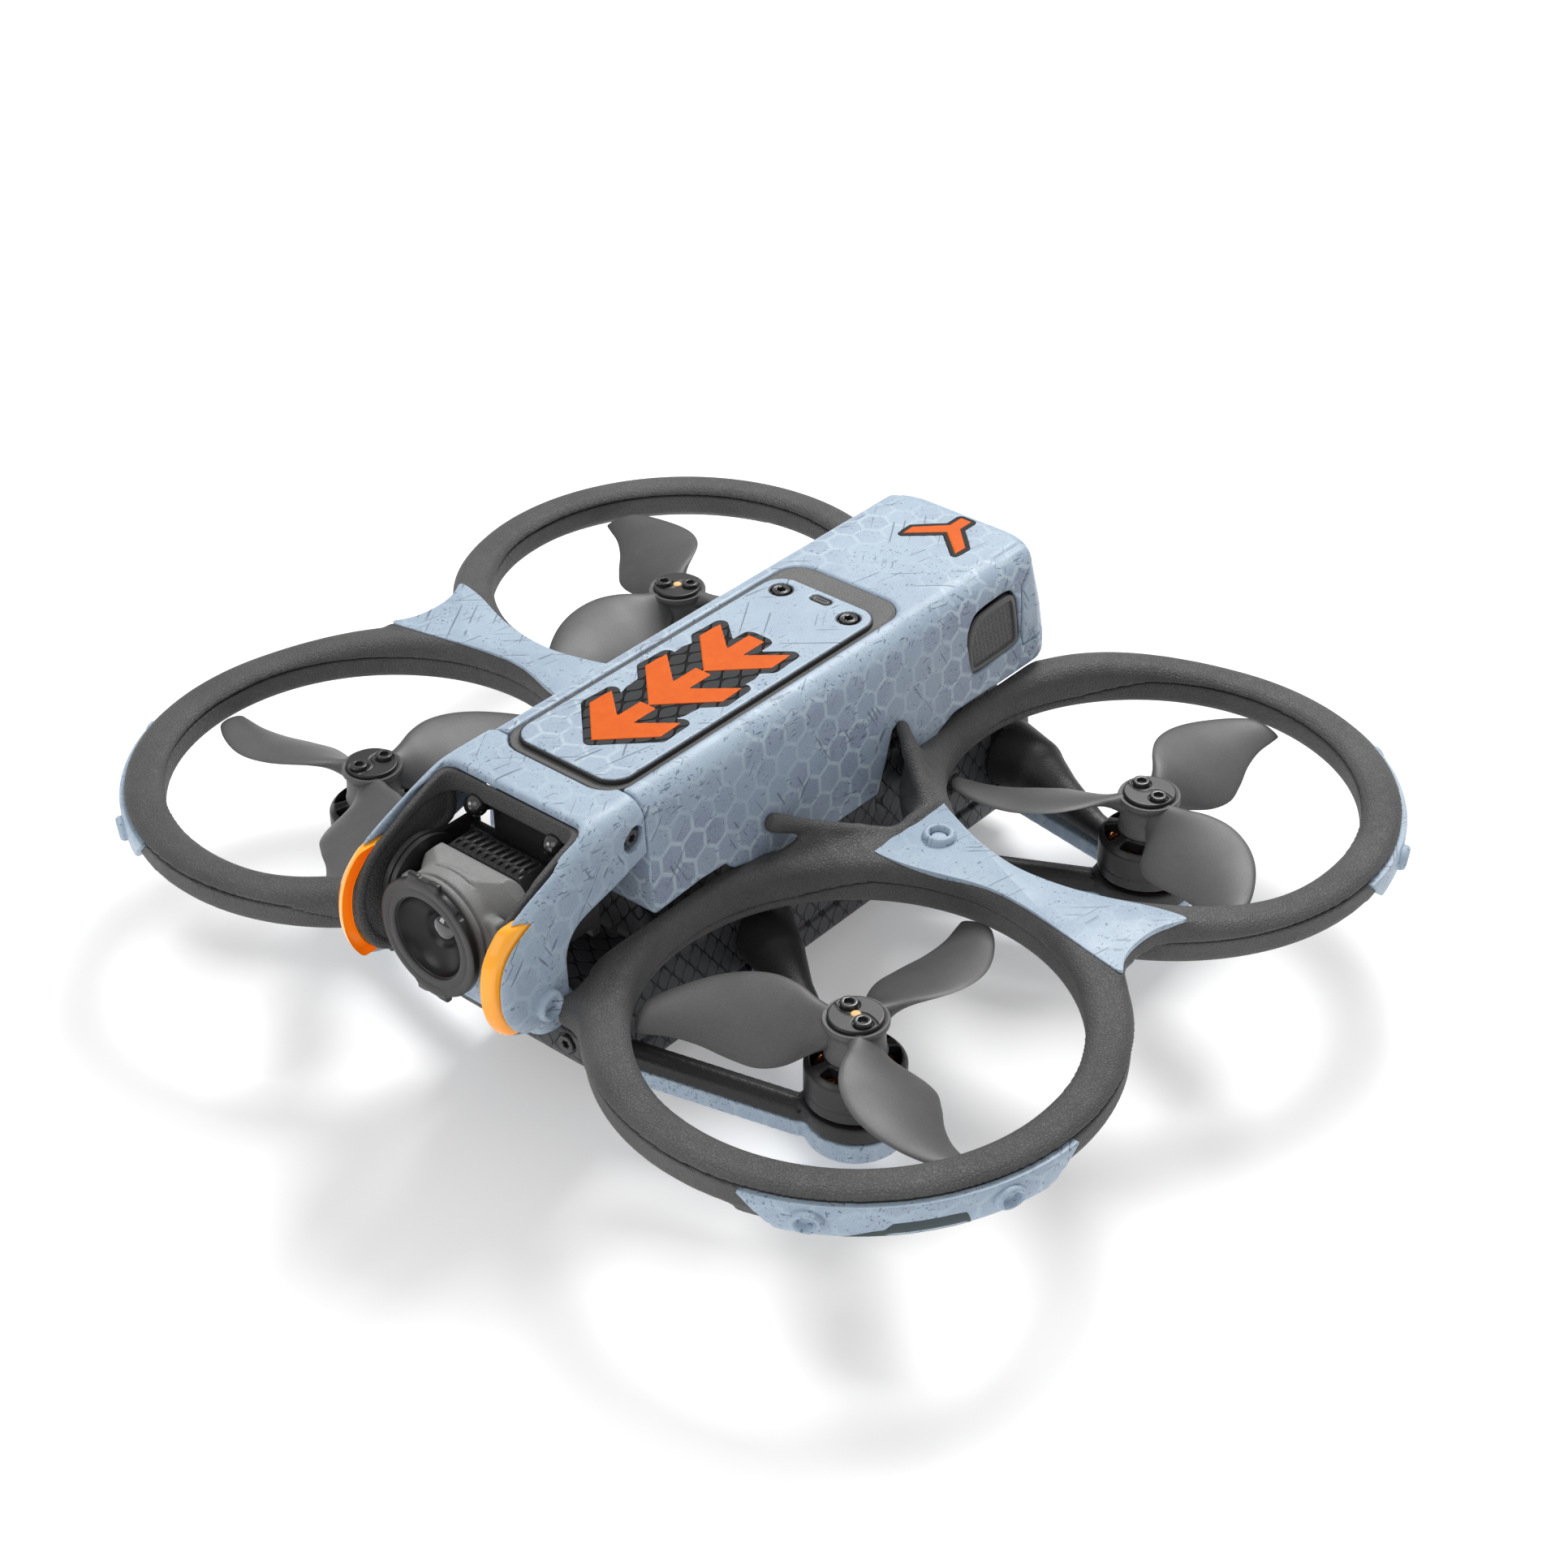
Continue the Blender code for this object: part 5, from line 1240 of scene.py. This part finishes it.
def make_camera_unit():
    grid = Grid((-12.6, -84.0, 34.6), (13.6, -70.9, 56.2), 0.22)
    x, y, z = grid.x - 0.3, grid.y, grid.z - 45.3
    corner = (np.abs(x) + np.abs(z) - 17.6) * SLANT
    case = np.maximum(round_box((grid.x, y, grid.z), (0.7, -75.6, 45.5), (11.7, 4.3, 9.3), 2.2), corner)
    slope = (-y - 76.4) * 0.62 + (np.hypot(x, z) - 10.9) * 0.78
    case = np.maximum(case, slope)
    r = np.hypot(grid.x - LENS_X, grid.z - LENS_Z)
    collar = round_box((r, y), (0, -79.3), (10.4, 2.9), 0.7)
    cheeks = round_box((np.abs(x), y, grid.z), (9.6, -78.4, 45.3), (2.2, 1.5, 5.2), 1.0)
    case = union(case, union(collar, cheeks, 0.8), 0.6)
    rim = np.maximum(np.abs(r - 10.05) - 0.22, np.abs(y + 80.6) - 0.3)
    case = np.maximum(case, -(np.maximum(r - 7.9, y + 79.6)))
    line = np.maximum(slab(y, -77.72, -77.48), 8.75 - np.abs(z))
    case = np.maximum(case, -np.minimum(rim, line))
    add_piece("camera_case", *surface(grid, blur(case, 1)), CASE, "camera", ["camera_housing"])

    grid = Grid((-12.4, -72.0, 35.4), (13.2, -63.6, 55.4), 0.22)
    x, y, z = grid.x - 0.5, grid.y, grid.z - 45.3
    back = round_box((x, y, z), (0, -67.8, 0), (11.2, 3.5, 9.0), 2.0)
    back = np.maximum(back, (np.abs(x) + np.abs(z) - 16.6) * SLANT)
    fins = None
    for index in range(11):
        center = -8.4 + index * 1.7
        for lane, (low, high) in enumerate(((-71.2, -69.2), (-68.6, -65.6))):
            shift = center + lane * 0.9 + (y + 68.0) * 0.18
            cut = np.maximum(np.abs(x - shift) - 0.3, slab(y, low, high))
            fins = cut if fins is None else np.minimum(fins, cut)
    fins = np.maximum(fins, 8.35 - np.abs(z))
    add_piece("camera_back", *surface(grid, np.maximum(back, -fins)), BLACK, "camera",
        ["camera_rear_cover"], sharp=50)

    grid = Grid((-12.4, -85.2, 32.4), (12.6, -82.6, 57.6), 0.2)
    x, z = grid.x - LENS_X, grid.z - LENS_Z
    r = np.hypot(x, z)
    ring = round_box((r, grid.y), (9.55, -83.95), (1.75, 0.8), 0.35)
    tabs = round_box((x, grid.y, np.abs(z)), (0, -83.95, 11.1), (3.7, 0.7, 1.1), 0.35)
    nicks = np.maximum(np.abs(x) - 1.3, np.abs(np.abs(z) - 12.4) - 0.55)
    small = np.maximum(np.abs(np.abs(np.degrees(np.arctan2(z, x))) - 45.0) * r * 0.01745 - 0.6,
        np.abs(r - 11.4) - 0.35)
    line = np.maximum(np.abs(r - 9.6) - 0.12, grid.y + 84.5)
    field = without(union(ring, tabs, 0.7), nicks, small, line)
    add_piece("filter_ring", *surface(grid, blur(field, 1)), BLACK, "camera", ["lens_filter_ring"])

    cone = [(8.0, -84.3), (7.75, -84.35), (7.6, -84.0), (7.2, -83.4), (6.8, -83.0), (6.0, -82.5),
        (5.0, -82.0),
            (4.0, -81.6), (3.2, -81.3), (3.0, -80.9), (0.01, -80.9), (0.01, -80.1), (8.0, -80.1)]
    throat = Solid().turned(cone, 72, (LENS_X, 0, LENS_Z), "Y", True)
    add_piece("lens_throat", *throat.data(), BORE, "camera")
    eye = Solid().turned([(0, -82.0), (1.0, -81.9), (1.9, -81.6), (2.6, -81.1), (2.8, -80.8), (0, -80.8)],
        56, (LENS_X, 0, LENS_Z), "Y")
    add_piece("lens_element", *eye.data(), GLASS, "camera", ["lens_glass"], sharp=40)
    drum = [(0, -13.9), (3.0, -13.9), (3.2, -13.6), (7.2, -13.6), (7.5, -13.9), (8.3, -13.9),
        (8.6, -13.6),
            (8.6, -12.6), (8.3, -12.5), (8.3, -12.1), (8.6, -12.0), (8.6, -11.2), (0, -11.2)]
    motor = Solid().turned(drum, 64, (0, TILT_Y, TILT_Z), "X")
    add_piece("gimbal_motor", *motor.data(), BLACK, "camera", ["tilt_motor"], sharp=30)

    grid = Grid((-15.6, -77.5, 36.6), (15.6, -49.8, 59.4), 0.4)
    x, y, z = grid.x, grid.y, grid.z
    yoke = round_box((x, y, z), (13.85, -67.4, 45.6), (1.05, 7.4, 6.0), 0.9)
    hub = round_box((np.hypot(y - TILT_Y, z - TILT_Z), x), (0, 13.85), (3.9, 1.05), 0.5)
    plate = round_box((x, y, z), (-14.55, -65.9, 45.6), (0.4, 8.6, 5.6), 0.3)
    cross = round_box((x, y, z), (0, -58.9, 43.3), (14.9, 1.2, 5.6), 0.8)
    ribs = np.maximum(round_box((x, y, z), (0, -58.9, 43.3), (13.0, 1.5, 4.4), 0.4),
        np.abs((x % 5.2) - 2.6) - 0.6)
    mast = round_box((x, y, z), (0, -55.2, 50.0), (9.0, 4.8, 8.6), 1.6)
    arms = polyline((np.abs(x), y, z), [(8.0, -57.5, 56.0), (9.2, -60.4, 55.8), (9.4, -62.6, 57.4)],
        (1.5, 1.3, 1.1))
    dampers = np.sqrt((np.abs(x) - 9.4) ** 2 + (y + 62.6) ** 2 + (z - 56.6) ** 2) - 2.2
    bridge = round_box((x, y, z), (0, -59.4, 57.6), (8.2, 0.8, 0.8), 0.4)
    field = np.minimum(union(union(yoke, hub, 0.6), cross, 0.8), plate)
    field = union(np.minimum(field, ribs), mast, 0.5)
    field = np.minimum(union(field, arms, 0.5), bridge)
    add_piece("gimbal_frame", *surface(grid, field), SATIN, "airframe", ["gimbal_bracket"])
    add_piece("gimbal_dampers", *surface(grid, dampers + 0 * z), RUBBER, "airframe")


# ---------------------------------------------------------------- battery, latches and lower body

def make_battery():
    grid = Grid((-21.2, 55.4, 43.4), (21.2, 70.2, 61.0), 0.35)
    x, y, z = grid.x, grid.y, grid.z
    cap = highest(body_field(grid, 0.15), slab(z, 44.0, 60.1), 56.35 - y)
    lip = polygon(y, z, [(56, 56.6), (58.3, 58.8), (60.5, 59.9), (75, 59.9), (75, 70), (50, 70),
        (50, 56.6)])
    cap = blur(np.maximum(cap, -lip), 1)
    recess = np.maximum(np.hypot(x + 6, z - 51) - 3.5, 63.9 - y)
    frame_cut = np.maximum(round_box((x, z), (7.2, 51.0), (5.3, 1.15), 0.5), 66.6 - y)
    ports = [round_box((x, z), (c, 46.6), (1.2, 0.45), 0.3) for c in (4, 7.2, 10.4)]
    cap = without(cap, recess, frame_cut, np.maximum(lowest(*ports), 68.0 - y))
    add_piece("battery_cap", *surface(grid, cap), SKIN_PLAIN, "battery", ["battery_end_cap"])

    grid = Grid((-17.6, -26.6, 43.6), (17.6, 57.2, 60.4), 0.5)
    x, y, z = grid.x, grid.y, grid.z
    pack = round_box((x, y, z), (0, 15.2, 52.05), (17.0, 41.3, 7.85), 2.0)
    rails = round_box((np.abs(x), z), (17.2, 52.0), (0.9, 1.1), 0.3)
    label = np.maximum(round_box((x, y), (0, 12), (13.5, 30), 2.0), 59.65 - z)
    pins = np.maximum(round_box((x, z), (0, 49.5), (8.5, 2.0), 0.4), y + 23.5)
    teeth = np.maximum(round_box((x, z), (0, 49.5), (8.0, 1.4), 0.2), slab(y, -24.6, -23.0))
    teeth = np.maximum(teeth, np.abs(x % 2.0 - 1.0) - 0.3)
    pack = np.minimum(without(pack, rails, label, pins), teeth)
    add_piece("battery_case", *surface(grid, pack), SATIN, "battery", ["battery_pack"])

    button = Solid().turned([(0, 67.7), (1.9, 67.75), (2.1, 68.15), (2.6, 68.2), (2.95, 67.9),
        (3.0, 65.0), (0, 65.0)], 48, (-6, 0, 51), "Y")
    add_piece("power_key", *button.data(), GREY, "button", ["power_button"], sharp=40)
    grid = Grid((1.4, 65.0, 49.6), (13.0, 67.6, 52.6), 0.15)
    pane = round_box((grid.x, grid.y, grid.z), (7.2, 66.3, 51.0), (4.9, 0.75, 0.8), 0.3)
    dots = np.maximum(np.hypot((grid.x - 0.95) % 2.5 - 1.25, grid.z - 51.0) - 0.45, 66.8 - grid.y)
    dots = np.maximum(dots, np.abs(grid.x - 7.2) - 5)
    add_piece("level_lamps", *surface(grid, np.maximum(pane, -dots)), PANE, "battery",
        ["battery_level_window"])

    grid = Grid((17.8, 38.4, 44.2), (20.6, 56.2, 57.8), 0.2)
    x, y, z = grid.x, grid.y, grid.z
    outline = polygon(y, z, smooth_outline([(39.4, 45.6), (39.1, 52.8), (40.8, 56.0), (43.2, 56.9),
        (51.6, 57.3), (53.4, 56.2), (55.0, 47.3), (54.6, 44.9), (41.2, 44.7)], 2))
    u, v = y + 0.25 * z, z - 0.12 * y
    knurl = np.maximum(np.abs(u % 1.15 - 0.575), np.abs(v % 1.15 - 0.575)) * 0.75
    top = np.where(outline > -1.15, 19.75 + 0 * knurl, 19.55 - knurl)
    top = top - np.clip(outline + 0.5, 0, 1) * 0.5
    edge = np.maximum(np.abs(outline + 1.25) - 0.14, 19.1 - x)
    pad = highest(outline, (x - top) * 0.7, 18.65 - x)
    pad = surface(grid, np.maximum(pad, -edge))
    for sign, name in SIDES:
        flip = (lambda d: d) if sign > 0 else (lambda d: mirrored(*d))
        add_piece(f"latch_pad_{name}", *flip(pad), GREY, f"latch_{name}", [f"battery_latch_{name}"],
            sharp=25)


BELLY = [(-66, 14), (-67.2, 18.5), (-65.5, 22.5), (-61, 26), (-56, 27), (62, 27), (64.5, 22), (61.5, 9),
    (57, 4.6), (-52, 4.6), (-61, 8.5)]


def make_lower_body():
    grid = Grid((-19.0, -68.0, 0.0), (19.0, 65.4, 39.4), 0.5)
    x, y, z = np.abs(grid.x), grid.y, grid.z
    side = polygon(y, z, smooth_outline(BELLY, 1))
    hull = rounded(side, x - 18.0, 3.0)
    cavity = np.maximum(side + 2.2, x - 15.8)
    neck = round_box((x, y, z), (0, 7, 31), (12.4, 53, 7.6), 2.0)
    waist = round_box((x, y, z), (0, 0, 32), (18.0, 14.2, 6.6), 1.5)
    frame_a = np.maximum(round_box((x, y, z), (0, 19.0, 30.5), (18.3, 4.2, 8.0), 1.5), 15.5 - x)
    hull = union(np.minimum(union(hull, neck, 2.0), frame_a), waist, 1.0)
    hollow = round_box((x, y, z), (0, 7, 30), (10.6, 51, 7.0), 1.0)
    feet = polyline((x, y, z), [(11, -44.5, 5.5), (11, -44.0, 1.6)], (2.2, 1.5))
    rear_feet = polyline((x, y, z), [(11, 50.5, 5.5), (11, 50.0, 1.6)], (2.2, 1.5))
    hull = union(union(hull, feet, 1.5), rear_feet, 1.5)
    vents = None
    for row in (22, 26, 30, 34):
        slot = round_box((grid.x, y), (0, row), (8, 0.9), 0.8)
        vents = slot if vents is None else np.minimum(vents, slot)
    vents = np.maximum(vents, z - 9)
    window = np.maximum(round_box((grid.x, y), (0, -17), (9.2, 5.2), 1.0), z - 5.6)
    rear_vents = highest(np.abs((x - 0.2) % 3.0 - 1.5) - 0.55, slab(z, 13, 22), 55 - y)
    rear_vents = np.maximum(rear_vents, x - 13.3)
    seam = np.maximum(np.abs(z - 11.75) - 0.4, -hull - 0.8)
    ports = np.maximum(round_box((y, z), (34, 20.5), (5.0, 1.8), 0.8), 16.8 - x)
    screws = np.maximum(np.minimum(np.hypot(x - 13, y + 36), np.hypot(x - 13, y - 42)) - 2.2, z - 6.6)
    field = without(blur(hull, 1), cavity, hollow, vents, window, rear_vents, seam, ports, screws)
    field = np.maximum(field, 0.05 - z)
    add_piece("belly_shell", *surface(grid, field), SCALES, "airframe", ["lower_shell"])
    screw = torx_screw(1.9, 1.6)
    heads = []
    for sx in (-13, 13):
        for sy in (-36, 42):
            verts, faces = mirrored(*screw)
            heads.append((verts * (1, 1, -1) * (-1, 1, 1) + (sx, sy, 5.1), faces))
    verts, faces = merged(heads)
    add_piece("belly_screws", verts, faces, STEEL, "airframe", sharp=40)

    grid = Grid((-9.4, -22.4, 4.2), (9.4, -11.6, 6.0), 0.2)
    pane = round_box((grid.x, grid.y, grid.z), (0, -17, 5.1), (9.0, 5.0, 0.45), 0.3)
    eyes = np.maximum(np.abs(np.hypot(np.abs(grid.x) - 5.2, grid.y + 17) - 2.5) - 0.15, grid.z - 4.85)
    lamp = np.maximum(np.abs(round_box((grid.x, grid.y), (0, -17), (1.2, 2.4), 0.5)) - 0.12,
        grid.z - 4.85)
    add_piece("belly_pane", *surface(grid, np.maximum(pane, -np.minimum(eyes, lamp))), PANE, "airframe",
              ["belly_sensor_window"])

    nose = Grid((-18.8, -76.0, 12.6), (18.8, -60.0, 26.6), 0.4)
    x, y, z = nose.x, nose.y, nose.z
    cap = polygon(y, z, smooth_outline([(-61, 26.6), (-66.5, 27.0), (-70.6, 25.6), (-72.2, 23.0),
        (-70.8, 20.4), (-66, 19.2), (-61, 19.2)], 2))
    cap = rounded(cap, np.abs(x) - 12.0, 2.5)
    slots = highest(np.abs(np.abs(x) - 6.0) - 2.2, slab(z, 22.2, 24.0), y + 71.0)
    add_piece("belly_nose", *surface(nose, np.maximum(cap, -slots)), SKIN_PLAIN, "airframe")


FINISHES = (("main_board", BOARD), ("heat_sink", ALUMINIUM))


def make_details():
    make_lower_body()
    for name, finish in FINISHES:
        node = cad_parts[name]
        node.data.materials.clear()
        node.data.materials.append(finish)
        edges = node.modifiers.new("edges", "BEVEL")
        edges.width = 0.0002
        edges.segments = 2


# ---------------------------------------------------------------- camera, light and floor

def make_studio():
    world = bpy.data.worlds.new("studio")
    bpy.context.scene.world = world
    world.use_nodes = True
    world.node_tree.nodes["Background"].inputs["Color"].default_value = (1.0, 1.0, 1.0, 1.0)
    world.node_tree.nodes["Background"].inputs["Strength"].default_value = 0.50

    floor_paint = Paint("studio_floor", roughness=0.9, specular=0.1)
    floor_paint.color(floor_paint.mix(floor_paint.noise(0.01), (0.93, 0.93, 0.93), (0.95, 0.95, 0.95)))
    floor_paint.shader.inputs["Emission Color"].default_value = (1.0, 1.0, 1.0, 1.0)
    floor_paint.shader.inputs["Emission Strength"].default_value = 0.22
    mesh = bpy.data.meshes.new("studio_floor")
    reach = 6.0
    mesh.from_pydata([(-reach, -reach, 0), (reach, -reach, 0), (reach, reach, 0), (-reach, reach, 0)], [],
        [(0, 1, 2, 3)])
    floor = bpy.data.objects.new("studio_floor", mesh)
    mesh.materials.append(floor_paint.material)
    bpy.context.scene.collection.objects.link(floor)

    for name, place, size, power in (
        ("key", (-0.20, 0.60, 0.85), 0.40, 8.5),
        ("fill", (0.45, -0.85, 0.75), 0.7, 1.3),
        ("front", (-0.4, -0.95, 0.45), 0.5, 2.6),
    ):
        light = bpy.data.lights.new(name, "AREA")
        light.size = size
        light.energy = power
        lamp = bpy.data.objects.new(name, light)
        lamp.location = place
        lamp.rotation_euler = (Vector((0, 0, 0.03)) - Vector(place)).to_track_quat("-Z", "Y").to_euler()
        bpy.context.scene.collection.objects.link(lamp)
    bpy.context.scene.view_settings.view_transform = "Standard"


def make_camera_view():
    azimuth, elevation, roll = (math.radians(a) for a in (40.886, 34.290, -0.6587))
    forward = Vector((-math.sin(azimuth) * math.cos(elevation), math.cos(azimuth) * math.cos(elevation),
        -math.sin(elevation)))
    right = Vector((math.cos(azimuth), math.sin(azimuth), 0.0))
    up = right.cross(forward)
    c, s = math.cos(roll), math.sin(roll)
    x, y = right * c + up * s, up * c - right * s
    view = bpy.data.cameras.new("view")
    view.sensor_width = 36.0
    view.lens = 67.693789
    view.clip_start = 0.01
    shot = bpy.data.objects.new("view", view)
    shot.rotation_mode = "QUATERNION"
    shot.rotation_quaternion = Matrix((x, y, -forward)).transposed().to_quaternion()
    shot.location = (0.304649, -0.344167, 0.345405)
    bpy.context.scene.collection.objects.link(shot)
    bpy.context.scene.camera = shot


def make_everything():
    make_guards()
    make_antenna_covers()
    make_propellers()
    make_motors()
    make_arms()
    make_body()
    make_bumper()
    make_camera_unit()
    make_battery()
    make_details()
    make_studio()
    make_camera_view()


make_everything()
